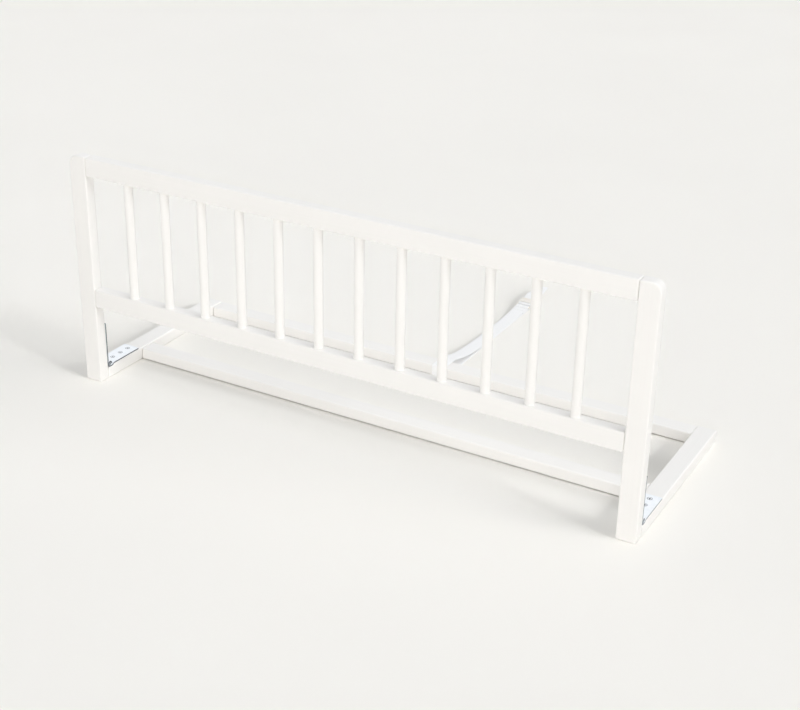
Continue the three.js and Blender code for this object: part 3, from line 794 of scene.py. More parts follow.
@dataclass
class Panel:
    """The barred panel: two posts, two rails between them and the round bars."""

    timber: Timber
    length: float = 1.0
    height: float = 0.4
    post_width: float = 32 * MM
    thickness: float = 20 * MM
    rail_height: float = 32 * MM
    clearance: float = 140 * MM
    top_radius: float = 15 * MM
    top_facets: int = 16
    seat_gap: float = 0.3 * MM
    bar_radius: float = 7.5 * MM
    bar_pitch: float = 71 * MM
    bar_count: int = 12
    bar_segments: int = 64
    tenon: float = 12 * MM
    tenon_chamfer: float = 1 * MM
    fillet: float = 0.7 * MM
    fillet_facets: int = 6
    fillet_support: float = 4 * MM

    def build(self) -> None:
        """Makes the posts, the rails and the bars."""
        for side in Side:
            self.post(side)
        self.rail("top_rail", self.height - self.rail_height / 2)
        self.rail("bottom_rail", self.clearance + self.rail_height / 2)
        for number in range(self.bar_count):
            self.bar(number)

    def middle_y(self) -> float:
        """The panel's middle plane."""
        return PANEL_FRONT_Y + self.thickness / 2

    def post(self, side: Side) -> None:
        """One post, its outer top corner rounded large.

        Args:
            side: The end that it stands at.
        """
        half = self.post_width / 2
        outer = 2 if side is Side.RIGHT else 3
        corners = rectangle(-half, 0, half, self.height)
        shell = self.timber.board(corners, self.thickness, {outer: self.top_radius}, self.top_facets)
        centre = side.value * (self.length - self.post_width) / 2
        placed = shell.placed(FROM_FRONT, (centre, self.middle_y(), 0))
        self.timber.coat(f"{side.label}_post", placed, Axis.Z, Body.PANEL)

    def rail(self, name: str, level: float) -> None:
        """One rail between the posts.

        Args:
            name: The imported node's name.
            level: Height of the rail's middle.
        """
        half, rise = self.length / 2 - self.post_width - self.seat_gap, self.rail_height / 2
        shell = self.timber.board(rectangle(-half, -rise, half, rise), self.thickness)
        placed = shell.placed(FROM_FRONT, (0, self.middle_y(), level))
        self.timber.coat(name, placed, Axis.X, Body.PANEL)

    def bar(self, number: int) -> None:
        """One round bar, with the lacquer's small fillet where it enters each rail.

        The radius is the bar's own, plus a cove f (1 - sqrt(1 - (1 - d / f) squared)) at a distance d
        from a rail, where f is the fillet. The upper half of the profile is the lower one's mirror.

        Args:
            number: The bar's number from the left, from 0.
        """
        low, high = self.clearance + self.rail_height, self.height - self.rail_height
        share = np.linspace(0, 1, self.fillet_facets + 1)
        cove = self.fillet * (1 - np.sqrt(1 - (1 - share) ** 2))
        radius, chamfer, start = self.bar_radius, self.tenon_chamfer, low - self.tenon
        height = np.concatenate([[start, start, start + chamfer, low - chamfer], low + self.fillet * share,
                                 [low + self.fillet_support]])
        swell = np.concatenate([[0, radius - chamfer, radius, radius], radius + cove, [radius]])
        shell = turned(np.concatenate([swell, swell[::-1]]),
                       np.concatenate([height, (low + high - height)[::-1]]), self.bar_segments)
        place = (number - (self.bar_count - 1) / 2) * self.bar_pitch
        placed = shell.placed(FROM_ABOVE, (place, self.middle_y(), 0))
        self.timber.coat(f"bar_{number + 1:02d}", placed, Axis.Z, Body.PANEL)


@dataclass
class Base:
    """The flat frame that lies under the mattress: two side rails and two cross rails."""

    timber: Timber
    length: float = 1.0
    depth: float = 0.35
    rail_width: float = 32 * MM
    panel_thickness: float = 20 * MM
    seat_gap: float = 0.3 * MM
    side_thickness: float = 22 * MM
    cross_width: float = 30 * MM
    cross_thickness: float = 19 * MM
    front_arris: float = 0.8 * MM
    front_setback: float = 110 * MM
    notch_bed: float = 19.2 * MM
    ramp_foot: float = 31.5 * MM
    ramp_head: float = 37 * MM
    ramp_round: float = 1 * MM

    def build(self) -> None:
        """Makes the side rails and the cross rails."""
        for side in Side:
            self.side_rail(side)
        self.cross_rail("front_cross_rail", self.front_setback + self.cross_width / 2, self.front_arris)
        self.cross_rail("rear_cross_rail", self.depth - self.cross_width / 2)

    def side_rail(self, side: Side) -> None:
        """One side rail, its profile stepped down in front for the hinge's barrel.

        Args:
            side: The end that it lies at.
        """
        front, top = self.panel_thickness + self.seat_gap, self.side_thickness
        corners = np.array([(front, 0), (self.depth, 0), (self.depth, top), (self.ramp_head, top),
                            (self.ramp_foot, self.notch_bed), (front, self.notch_bed)])
        shell = self.timber.board(corners, self.rail_width, {4: self.ramp_round})
        centre = side.value * (self.length - self.rail_width) / 2
        placed = shell.placed(FROM_END, (centre, PANEL_FRONT_Y, 0))
        self.timber.coat(f"{side.label}_side_rail", placed, Axis.Y, Body.BASE)

    def cross_rail(self, name: str, place: float, lower_edge: float | None = None) -> None:
        """One cross rail between the side rails.

        Args:
            name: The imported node's name.
            place: Distance of its middle from the panel's front face.
            lower_edge: Radius of its lower edges, where it differs from the upper ones.
        """
        half, across = self.length / 2 - self.rail_width - self.seat_gap, self.cross_width / 2
        corners = rectangle(-half, -across, half, across)
        shell = self.timber.board(corners, self.cross_thickness, lower_edge=lower_edge)
        placed = shell.placed(FROM_ABOVE, (0, PANEL_FRONT_Y + place, self.side_thickness / 2))
        self.timber.coat(name, placed, Axis.X, Body.BASE)


# Hinges


@dataclass(frozen=True)
class LeafForm:
    """Sizes that both leaves of a hinge share."""

    width: float = 31 * MM
    thickness: float = 2 * MM
    reach: float = 77 * MM
    curl_radius: float = 4.3 * MM
    barrel_radius: float = 5.3 * MM
    swage_run: float = 5.5 * MM
    curl_angle: float = math.radians(280)
    tip_round: float = 1.2 * MM
    gap: float = 0.3 * MM
    comb_reach: float = 5.9 * MM
    knuckles: int = 3
    screw_places: Triple = (25.3 * MM, 45.5 * MM, 65.7 * MM)
    screw_pitch: float = 20.2 * MM
    mouth: float = 3.75 * MM
    throat: float = 2.05 * MM
    swage_facets: int = 40
    curl_facets: int = 160
    comb_facets: int = 60
    hole_shares: tuple[float, ...] = (0, 0.12, 0.35, 0.65, 1)
    tip_shares: tuple[float, ...] = (1, 0.6, 0.3, 0.12, 0)
    least_strip: float = 0.001 * MM
    merge: float = 0.0001 * MM

    @property
    def knuckle_half(self) -> float:
        """Half the width of a knuckle with its gap."""
        return self.width / self.knuckles / 2


@dataclass(frozen=True)
class ScrewForm:
    """Sizes of a countersunk wood screw with a cross recess."""

    length: float = 16 * MM
    point: float = 3 * MM
    shank: float = 1.75 * MM
    head: float = 3.5 * MM
    head_edge: float = 0.1 * MM
    thread_start: float = 4.5 * MM
    thread_pitch: float = 1.4 * MM
    thread_depth: float = 0.3 * MM
    arm: float = 2.25 * MM
    arm_width: float = 0.62 * MM
    recess: float = 1.35 * MM
    segments: int = 96
    head_rings: int = 26
    shank_rings: int = 90
    point_rings: int = 11

    def groove(self, along: Array, across: Array) -> Array:
        """Share of the recess's depth in one arm's groove, whose length is a and half width w.

        It is the root of 1 - u / a, where u runs along the groove, and falls to none as the place
        across, v, goes from 0.55 w to 1.15 w.

        Args:
            along: Distances along the groove from the screw's axis.
            across: Distances across it.

        Returns:
            The shares, from 0 to 1.
        """
        wall = np.clip((across / self.arm_width - 0.55) / 0.6, 0, 1)
        return np.sqrt(np.clip(1 - along / self.arm, 0, 1)) * (1 - wall)

    def shell(self) -> Shell:
        """The screw. Its recess is as deep at each place as the deeper of two crossing grooves.

        The thread cuts into the shank by a triangle wave of z / pitch less the share of a turn round
        the axis, and fades out along the point. The map is the distance from the axis and the depth
        below the head's top, in metres.

        Returns:
            The closed shell, its head's top at zero and its point below.
        """
        angle = np.linspace(0, 2 * math.pi, self.segments, endpoint=False)[None]
        disc = np.concatenate([[0.0], np.linspace(0.04, 0.94, self.head_rings), [0.97]])[:, None] * self.head
        ahead, aside = np.abs(disc * np.cos(angle)), np.abs(disc * np.sin(angle))
        top = -self.recess * np.maximum(self.groove(ahead, aside), self.groove(aside, ahead))
        neck, point = self.length - self.point, np.linspace(0, 1, self.point_rings + 1)[1:]
        body_z = -np.concatenate([[self.head_edge],
                                  np.linspace(self.head - self.shank, neck, self.shank_rings),
                                  neck + self.point * point])[:, None]
        body_r = np.concatenate([[self.head], np.full(self.shank_rings, self.shank),
                                 self.shank * (1 - point)])[:, None]
        phase = (body_z / self.thread_pitch - angle / (2 * math.pi)) % 1
        cut = self.thread_depth * np.minimum(phase, 1 - phase) * 2
        threaded = (body_z < -self.thread_start) * body_r / self.shank
        radius = np.concatenate([np.broadcast_to(disc, top.shape), body_r - cut * threaded])
        height = np.concatenate([top, np.broadcast_to(body_z, cut.shape)])
        shell = turned(radius, height, self.segments)
        shell.uv = np.stack([np.hypot(shell.points[:, 0], shell.points[:, 1]), -shell.points[:, 2]], 1)
        return shell


@dataclass(frozen=True)
class Leaf:
    """One leaf of a hinge in its own frame: X from the pin to the tip, Y off the timber, Z across.

    It steps down to its knuckles by the swage. The end knuckles are its own where own_first is true,
    and the middle one where it is false.
    """

    form: LeafForm
    swage: float
    own_first: bool

    @property
    def seat(self) -> float:
        """Where the middle of the leaf's flat lies off the pin's axis."""
        return self.swage - self.form.curl_radius

    def centre_line(self) -> tuple[Array, Array, Array]:
        """The leaf's centre line from its flat to the end of its curl.

        The swage falls by the smooth step s s (3 - 2 s), and the curl is an arc about the pin.

        Returns:
            The pattern's length at each point, falling from the flat, then the points and normals.
        """
        form = self.form
        run = np.linspace(1, 0, form.swage_facets + 1)
        step = np.stack([form.barrel_radius + form.swage_run * run,
                         self.seat - self.swage * (1 - run * run * (3 - 2 * run))], 1)
        angle = -math.pi / 2 - np.linspace(0, form.curl_angle, form.curl_facets + 1)
        curl = form.curl_radius * np.stack([np.cos(angle), np.sin(angle)], 1)
        line = np.concatenate([[[form.reach, self.seat]], step, curl])
        gaps = np.linalg.norm(np.diff(line, axis=0), axis=1)
        pattern = form.reach - np.concatenate([[0], np.cumsum(gaps)])
        along = np.gradient(line, pattern, axis=0)
        along[0] = (1, 0)
        along /= np.linalg.norm(along, axis=1, keepdims=True)
        return pattern, line, np.stack([-along[:, 1], along[:, 0]], 1)

    def lines_across(self) -> Array:
        """Places across the leaf: the knuckles' ends, the rounded corners and even steps between.

        Returns:
            The places, rising from one edge to the other.
        """
        form = self.form
        inner = form.knuckle_half + form.gap / 2 * (1 if self.own_first else -1)
        corner = form.width / 2 - form.tip_round * np.array(form.tip_shares)
        places = [np.linspace(0, inner, 5), np.linspace(inner, corner[0], 5), corner]
        positive = np.unique(np.round(np.concatenate(places), 7))
        return np.concatenate([-positive[:0:-1], positive])

    def pattern(self) -> tuple[Array, Array, Array]:
        """The flat pattern as two layers that share their faces.

        Round each screw, rings run from the hole's circle to the rectangle of its pitch: a ring of
        share s lies at circle + s (rectangle - circle), and only the circle's radius differs between
        the layers, which makes the countersink. The rest is a grid, less the slots of the comb.

        Returns:
            The outer layer's places (along, across), the inner layer's, and the quads.
        """
        form, across = self.form, self.lines_across()
        pitch = form.screw_pitch / 2
        upper, lower, quads, start = [], [], [], 0
        end = np.stack(np.broadcast_arrays(-pitch, across), 1)[:-1]
        edge = np.stack(np.broadcast_arrays(np.linspace(-pitch, pitch, 11), form.width / 2), 1)[:-1]
        border = np.concatenate([end, edge, -end, -edge])
        spoke = border / np.linalg.norm(border, axis=1, keepdims=True)
        shares = np.array(form.hole_shares)[:, None, None]
        for place in form.screw_places:
            for layer, radius in ((upper, form.mouth), (lower, form.throat)):
                rings = radius * spoke + shares * (border - radius * spoke) + (place, 0)
                layer.append(rings.reshape(-1, 2))
            quads.append(grid_quads(len(shares), len(border), wrap=True) + start)
            start += len(shares) * len(border)
        for grid, kept in (self.tip_rows(across), self.comb_rows(across)):
            upper.append(grid.reshape(-1, 2))
            lower.append(grid.reshape(-1, 2))
            quads.append(grid_quads(*grid.shape[:2])[kept] + start)
            start += len(upper[-1])
        return np.concatenate(upper), np.concatenate(lower), np.concatenate(quads)

    def tip_rows(self, across: Array) -> tuple[Array, Array]:
        """The strip past the last screw, its two corners rounded and never quite down to nothing.

        Args:
            across: The places across the leaf.

        Returns:
            The grid of the pattern's places, and which of its quads are kept.
        """
        form = self.form
        over = np.clip(np.abs(across) - (form.width / 2 - form.tip_round), 0, form.tip_round)
        end = form.reach - form.tip_round + np.sqrt(form.tip_round**2 - over**2)
        begin = form.screw_places[-1] + form.screw_pitch / 2
        rows = np.stack([np.maximum(end, begin + form.least_strip), np.full(len(across), begin)])
        return np.stack(np.broadcast_arrays(rows, across), -1), np.ones(len(across) - 1, bool)

    def comb_rows(self, across: Array) -> tuple[Array, Array]:
        """The rows from the first screw's patch to the curl's end, less the other leaf's knuckles.

        Args:
            across: The places across the leaf.

        Returns:
            The grid of the pattern's places, and which of its quads are kept.
        """
        form = self.form
        pattern, line, _ = self.centre_line()
        swage = slice(form.swage_facets + 1, None, -1)
        slot = float(np.interp(form.comb_reach, line[swage, 0], pattern[swage]))
        top = form.screw_places[0] - form.screw_pitch / 2
        flat_end = form.barrel_radius + form.swage_run
        rows = np.concatenate([[top, (top + flat_end) / 2], np.linspace(flat_end, slot, 9),
                               np.linspace(slot, pattern[-1], form.comb_facets + 1)[1:]])
        middle = np.abs((across[1:] + across[:-1]) / 2)
        own = middle > form.knuckle_half if self.own_first else middle < form.knuckle_half
        kept = (rows[1:, None] >= slot - form.merge) | own[None]
        return np.stack(np.meshgrid(rows, across, indexing="ij"), -1), kept.ravel()

    def shell(self) -> Shell:
        """The bent leaf: each layer half a thickness off the centre line, walls along open edges.

        Returns:
            The closed shell. Its map is the flat pattern, in metres, and its last faces are the walls.
        """
        upper, lower, quads = self.pattern()
        keys = np.round(upper / self.form.merge).astype(np.int64)
        _, first, inverse = np.unique(keys, axis=0, return_index=True, return_inverse=True)
        used, renumbered = np.unique(inverse.reshape(-1)[quads], return_inverse=True)
        upper, lower, quads = upper[first][used], lower[first][used], renumbered.reshape(-1, 4)
        count = len(upper)
        pairs = np.stack([quads, np.roll(quads, -1, 1)], -1).reshape(-1, 2)
        loose = ~np.isin(pairs[:, 0] * count + pairs[:, 1], pairs[:, 1] * count + pairs[:, 0])
        here, there = pairs[loose].T
        walls = np.stack([there, here, here + count, there + count], 1)
        points = np.concatenate([self.bent(upper, 0.5), self.bent(lower, -0.5)])
        faces = [quads, quads[:, ::-1] + count, walls]
        return Shell(points, faces, np.concatenate([upper, lower])).facing_out()

    def bent(self, places: Array, side: float) -> Array:
        """Points of one layer, read off the centre line and moved along its normal.

        Args:
            places: Their places on the flat pattern.
            side: How far they lie off the centre line, as a share of the thickness.

        Returns:
            The points.
        """
        pattern, *parts = self.centre_line()
        line, normal = [np.stack([np.interp(places[:, 0], pattern[::-1], part[::-1, axis])
                                  for axis in (0, 1)], 1) for part in parts]
        return np.concatenate([line + side * self.form.thickness * normal, places[:, 1:]], 1)


@dataclass
class Hinge:
    """A strap hinge: a leaf on the side rail, a leaf on the post, and the pin they turn on."""

    finishes: Finishes
    side: Side
    form: LeafForm = LeafForm()
    screw: ScrewForm = ScrewForm()
    swage: float = 2.5 * MM
    pin_radius: float = 3 * MM
    pin_proud: float = 0.3 * MM
    pin_dome: float = 0.8 * MM
    place: Pair = (PANEL_FRONT_Y + 25.6 * MM, 25.1 * MM)
    post_centre: float = 0.484
    rim: float = 0.22 * MM
    rim_crease: float = math.radians(40)

    def build(self) -> None:
        """Makes both leaves with their screws, and the pin."""
        self.leaf("rail", Leaf(self.form, self.swage, True), FROM_END, Body.BASE)
        self.leaf("post", Leaf(self.form, 0.0, False), ON_POST, Body.PANEL)
        half = self.form.width / 2 + self.pin_proud
        rod = domed_rod(self.pin_radius, half, self.pin_dome, facets=8, segments=48)
        pin = rod.placed(FROM_ABOVE, self.origin())
        self.plate(f"{self.side.label}_hinge_pin", pin, self.finishes.pin, Body.BASE, crease=50)

    def origin(self) -> Triple:
        """The middle of the hinge's axis."""
        return (self.side.value * self.post_centre, *self.place)

    def plate(self, node: str, shell: Shell, finish: Material, body: Body, crease: float) -> Object:
        """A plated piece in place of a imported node, smooth but for edges sharper than its crease."""
        mesh = made_mesh(node, shell, crease)
        return add_piece(f"{node}_plated", mesh, finish, body, (node,))

    def leaf(self, kind: str, leaf: Leaf, axes: Array, body: Body) -> None:
        """One leaf and its screws.

        Args:
            kind: "rail" or "post", for the names.
            leaf: The leaf's form.
            axes: Where its own axes point.
            body: The body that it rides on.
        """
        name = f"{self.side.label}_{kind}_leaf"
        shell = leaf.shell().placed(axes, self.origin())
        piece = self.plate(name, shell, self.finishes.leaf, body, crease=35)
        # Painted shade: the walls round the leaf's open edges take the dark plate as their shade.
        piece.data.materials.append(self.finishes.sheared)
        sheared = np.repeat([0, 0, 1], [len(group) for group in shell.faces]).astype(np.int32)
        piece.data.polygons.foreach_set("material_index", sheared)
        bevel = piece.modifiers.new("rim", "BEVEL")
        bevel.width, bevel.segments, bevel.limit_method = self.rim, 2, "ANGLE"
        bevel.angle_limit = self.rim_crease
        screw, top = self.screw.shell(), leaf.seat + self.form.thickness / 2
        for number, along in enumerate(self.form.screw_places, 1):
            placed = screw.placed(ON_LEAF, (along, top, 0)).placed(axes, self.origin())
            self.plate(f"{name}_screw_{number}", placed, self.finishes.screw, body, crease=32)


# Belt


def arc(centre: Pair, radius: float, start: float, end: float, facets: int) -> Array:
    """Points of an arc in degrees about a centre, both ends included."""
    angle = np.radians(np.linspace(start, end, facets + 1))
    return np.array(centre) + radius * np.stack([np.cos(angle), np.sin(angle)], 1)


def smooth_line(places: Array, steps: int = 12) -> Array:
    """A Catmull-Rom line through places.

    A point of a span is (2a + (c - b) t + (2b - 5a + 4c - d) t t + (3a - b - 3c + d) t t t) / 2, with
    a and c its ends and b and d the places before and after.

    Args:
        places: The places that it goes through.
        steps: Steps in each span.

    Returns:
        The line's points.
    """
    before = np.concatenate([places[:1], places[:-2]])[:, None]
    after = np.concatenate([places[2:], places[-1:]])[:, None]
    start, end = places[:-1, None], places[1:, None]
    share = np.linspace(0, 1, steps, endpoint=False)[None, :, None]
    line = 0.5 * (2 * start + (end - before) * share
                  + (2 * before - 5 * start + 4 * end - after) * share**2
                  + (3 * start - before - 3 * end + after) * share**3)
    return np.concatenate([line.reshape(-1, 2), places[-1:]])


@dataclass
class Belt:
    """The belt on the rear rail and its ladder lock, in mm. Its lines are (Y from the rear face, Z)."""

    finishes: Finishes
    width: float = 25.0
    thickness: float = 1.2
    centre_x: float = 11.0
    rear_face: float = 175.0
    rail_top: float = 20.5
    rail_underside: float = 1.5
    rail_width: float = 30.0
    rail_edge: float = 2.5
    layer: float = 0.9
    lock_layer: float = 2.1
    lock_second_layer: float = 3.6
    lock_place: Pair = (312.0, 5.4)
    lock_tilt: float = 10.0
    lock_start: float = -2.0
    lock_width: float = 31.0
    lock_length: float = 31.0
    lock_corner: float = 4.0
    lock_thickness: float = 2.4
    lock_edge: float = 1.08
    lock_crease: float = 35.0
    slots: Pair = (2.0, 11.0)
    slot_depth: float = 5.0
    slot_width: float = 25.8
    slot_corner: float = 1.3
    ribs: Triple = (19.5, 22.3, 25.1)
    rib_radius: float = 0.75
    rib_half: float = 8.5
    near_bar_end: float = -4.0
    hem_end: float = -24.0
    hem_gap: float = 0.3
    roll: Pair = (357.0, 6.1)
    roll_radius: float = 5.5
    under_lock: Pair = (31.0, 16.0)
    tail_start: float = 29.0
    station_step: float = 2.0
    same_place: float = 0.02
    clear_of_own: float = 0.4
    section_points: int = 12
    stitch: Triple = (1.15, 0.3, 0.26)
    stitch_pitch: float = 2.6
    stitch_rise: float = 0.62
    stitch_rows: Triple = (-7.0, -10.0, -20.0)
    top_layer: float = 320.0
    upper_route: tuple[Pair, ...] = (
        (4, 21.4), (9, 20.9), (16, 19.3), (26, 16.7), (37, 13.6), (48, 10.8), (65, 8.2), (86, 6.1),
        (110, 4.6), (136, 3.5), (165, 2.8), (198, 2.6), (232, 2.8), (258, 3.4), (278, 4.2))
    tail_route: tuple[Pair, ...] = (
        (348, 11.4), (357, 13.7), (365, 12.6), (373, 11), (381, 11.2), (390, 13), (399, 15.2))

    def build(self) -> None:
        """Makes the lock, both lengths of webbing and the stitching of the hem."""
        lock = self.lock()
        self.strap("belt_upper_webbing", self.upper_line(), "fitting", (lock,), ("belt_upper_run",))
        self.strap("belt_lower_webbing", self.lower_line(), "bare", (),
                   ("belt_rail_wrap", "belt_lower_run", "belt_tail"))
        self.stitching()

    def in_object(self, across: Array | float, back: Array | float, up: Array | float) -> Array:
        """Points of the object, in metres, across the belt, back from the rear face and up."""
        return np.stack(np.broadcast_arrays(self.centre_x + across, self.rear_face + back, up), -1) * MM

    def on_lock(self, along: float, off: float) -> Array:
        """A place on the tilted lock, from its near bar's middle.

        Args:
            along: Along the lock.
            off: Off its middle plane.

        Returns:
            The place on the belt's lines.
        """
        tilt = math.radians(self.lock_tilt)
        return np.array([along * math.cos(tilt) - off * math.sin(tilt) + self.lock_place[0],
                         along * math.sin(tilt) + off * math.cos(tilt) + self.lock_place[1]])

    def lock_arc(self, along: float, start: float, end: float) -> Array:
        """An arc of the webbing round a bar of the lock, its angles from the lock's plane."""
        centre = tuple(self.on_lock(along, 0))
        return arc(centre, self.lock_layer, start + self.lock_tilt, end + self.lock_tilt, 16)

    def upper_line(self) -> Array:
        """The sewn end: from the rail's top to the lock, round its near bar, and hemmed under itself.

        Returns:
            The line's points.
        """
        top = self.rail_top + self.layer
        route = np.array([(0, top), *self.upper_route, self.on_lock(self.near_bar_end, self.lock_layer)])
        turn = self.lock_arc(self.slots[0] - self.lock_thickness / 2, 90, -90)
        hem = self.on_lock(self.hem_end, -self.lock_layer)
        hem[1] = 1.5 * self.thickness + self.hem_gap
        return np.concatenate([smooth_line(route), turn,
                               [self.on_lock(self.near_bar_end, -self.lock_layer), hem]])

    def lower_line(self) -> Array:
        """The loaded run: round the front of the rail, along the floor, rolled back, and the tail.

        It leaves the roll where the tangent to the roll's circle meets its first place under the lock.

        Returns:
            The line's points.
        """
        front, turn = self.rail_edge - self.rail_width, self.rail_edge + self.layer
        first, last = [self.on_lock(along, -self.lock_second_layer) for along in self.under_lock]
        to_first = first - self.roll
        leave = math.degrees(math.atan2(to_first[1], to_first[0])
                             - math.acos(self.roll_radius / np.linalg.norm(to_first)))
        tail = np.array([self.on_lock(self.tail_start, -self.lock_layer), *self.tail_route])
        (near, far), half, depth = self.slots, self.lock_thickness / 2, self.slot_depth
        return np.concatenate([
            [(0, self.rail_top + self.layer)],
            arc((front, self.rail_top - self.rail_edge), turn, 90, 180, 12),
            arc((front, self.rail_underside + self.rail_edge), turn, 180, 270, 12),
            [(0, self.thickness / 2)],
            arc(self.roll, self.roll_radius, -90, leave % 360, 32),
            [first, last],
            self.lock_arc(near + depth + half, -90, -270),
            self.lock_arc(far - half, 90, 30),
            self.lock_arc(far + depth + half, 210, 270),
            smooth_line(tail),
        ])

    def stations(self, line: Array) -> Array:
        """A line with a point at least every step: its own and even ones, less those that coincide.

        Args:
            line: The line's points.

        Returns:
            The length at each point, its Y and its Z.
        """
        length = np.concatenate([[0], np.cumsum(np.linalg.norm(np.diff(line, axis=0), axis=1))])
        kept = np.concatenate([[True], np.diff(length) > self.same_place])
        line, length = line[kept], length[kept]
        even = np.arange(0, length[-1], self.station_step)
        even = even[np.abs(even[:, None] - length[None]).min(1) > self.clear_of_own]
        at = np.sort(np.concatenate([length, even]))
        return np.stack([at, np.interp(at, length, line[:, 0]), np.interp(at, length, line[:, 1])], 1)

    def section(self) -> Array:
        """The webbing's section: two flat faces between rounded selvedges.

        At a share u across, from -1 to 1, a face lies t / 2 times (1 - |u| to the 14th) to the
        power 0.5 off the middle.

        Returns:
            Its points round the webbing, as (across, off).
        """
        share = np.sin(np.linspace(-math.pi / 2, math.pi / 2, self.section_points * 2 + 1))
        off = self.thickness / 2 * np.sqrt(np.clip(1 - np.abs(share) ** 14, 0, 1))
        upper = np.stack([share * self.width / 2, off], 1)
        return np.concatenate([upper, upper[-2:0:-1] * (1, -1)])

    def ribbon(self, line: Array) -> Shell:
        """The webbing's section carried along a line, each ring square to it, with flat ends.

        Args:
            line: The line's points.

        Returns:
            The closed shell, with a map of the places across and along in metres.
        """
        at, y, z = self.stations(line).T[..., None]
        along = np.stack([np.gradient(part[:, 0], at[:, 0]) for part in (y, z)])
        ahead, rise = (along / np.linalg.norm(along, axis=0))[..., None]
        across, off = self.section().T
        points = self.in_object(across, y - rise * off, z + ahead * off)
        return capped(points, np.stack(np.broadcast_arrays(across, at), -1) * MM)

    def strap(self, name: str, line: Array, far_end: str, pieces: tuple[Object, ...],
              nodes: tuple[str, ...]) -> None:
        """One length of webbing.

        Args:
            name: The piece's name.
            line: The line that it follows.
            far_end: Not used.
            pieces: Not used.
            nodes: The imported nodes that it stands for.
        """
        mesh = made_mesh(name, self.ribbon(line), crease=50)
        strap = add_piece(name, mesh, self.finishes.webbing, Body.BASE, nodes)
        stations = self.stations(line)
        path = self.in_object(0, stations[:, 1], stations[:, 2]).tolist()

    def lock(self) -> Object:
        """The moulded ladder lock: a plate with two slots, its edges rounded, and a ribbed tab.

        Returns:
            The lock's object.
        """
        edge, half, slot = self.lock_edge * MM, self.lock_width / 2, self.slot_width / 2
        plate = rectangle(-half, self.lock_start, half, self.lock_start + self.lock_length)
        outlines = [rounded_outline(plate, self.lock_corner, facets=10, support=0.5)]
        for near in self.slots:
            hole = rectangle(-slot, near, slot, near + self.slot_depth)
            outlines.append(rounded_outline(hole, self.slot_corner, facets=6, support=0.3))
        curve = bpy.data.curves.new("lock_outline", "CURVE")
        curve.dimensions, curve.fill_mode = "2D", "BOTH"
        curve.extrude, curve.bevel_depth, curve.offset = self.lock_thickness * MM / 2 - edge, edge, -edge
        curve.bevel_resolution = 4
        for outline in outlines:
            spline = curve.splines.new("POLY")
            spline.points.add(len(outline.points) - 1)
            flat = np.pad(outline.points * MM, ((0, 0), (0, 2)))
            flat[:, 3] = 1
            spline.points.foreach_set("co", flat.astype(np.float32).ravel())
            spline.use_cyclic_u = True
        drawn = in_scene("lock_outline", curve)
        graph = bpy.context.evaluated_depsgraph_get()
        mesh = bpy.data.meshes.new_from_object(drawn.evaluated_get(graph))
        bpy.data.objects.remove(drawn)
        mesh.name = "ladder_lock"
        mesh.materials.clear()
        work = bmesh.new()
        work.from_mesh(mesh)
        bmesh.ops.remove_doubles(work, verts=work.verts, dist=1e-6)
        bmesh.ops.recalc_face_normals(work, faces=work.faces)
        ribs = joined([self.lock_rib(along) for along in self.ribs])
        work.from_mesh(made_mesh("lock_ribs", ribs, self.lock_crease))
        tilt = Matrix.Rotation(math.radians(self.lock_tilt), 4, "X")
        work.transform(Matrix.Translation(self.in_object(0, *self.lock_place)) @ tilt)
        work.to_mesh(mesh)
        work.free()
        smoothed(mesh, self.lock_crease)
        return add_piece("ladder_lock_moulded", mesh, self.finishes.plastic, Body.BASE,
                         ("ladder_lock",))

    def lock_rib(self, along: float) -> Shell:
        """A grip rib across the tab, in metres: a half-sunk rod with round ends."""
        rod = domed_rod(self.rib_radius, self.rib_half, self.rib_radius, facets=6, segments=16)
        return Shell((rod.points + (0, along, self.lock_thickness / 2)) * MM, rod.faces)

    def stitching(self) -> None:
        """Rows of stitches across the hem: each a half-sunk grain, long across and thin along.

        At a share s of its half length, a grain is (1 - s to the 4th) to the power 0.5 as thick as
        in its middle.
        """
        angle = np.linspace(0, 2 * math.pi, 8, endpoint=False)
        share = np.linspace(-1, 1, 7)[:, None]
        swell = np.sqrt(np.clip(1 - share**4, 0.02, 1))
        long, wide, high = self.stitch
        line = self.stations(self.upper_line())
        top = line[line[:, 0] < self.top_layer]
        grains = []
        for row in self.stitch_rows:
            _, y, z = top[np.argmin(np.abs(top[:, 1] - self.lock_place[0] - row))]
            grains += [self.in_object(place + share * long, y + wide * swell * np.cos(angle),
                                      z + self.stitch_rise + high * swell * np.sin(angle))
                       for place in np.arange(-4, 5) * self.stitch_pitch]
        mesh = made_mesh("belt_hem_stitching", joined([capped(grain) for grain in grains]), crease=60)
        add_piece("belt_hem_stitching", mesh, self.finishes.thread, Body.BASE)


# Studio


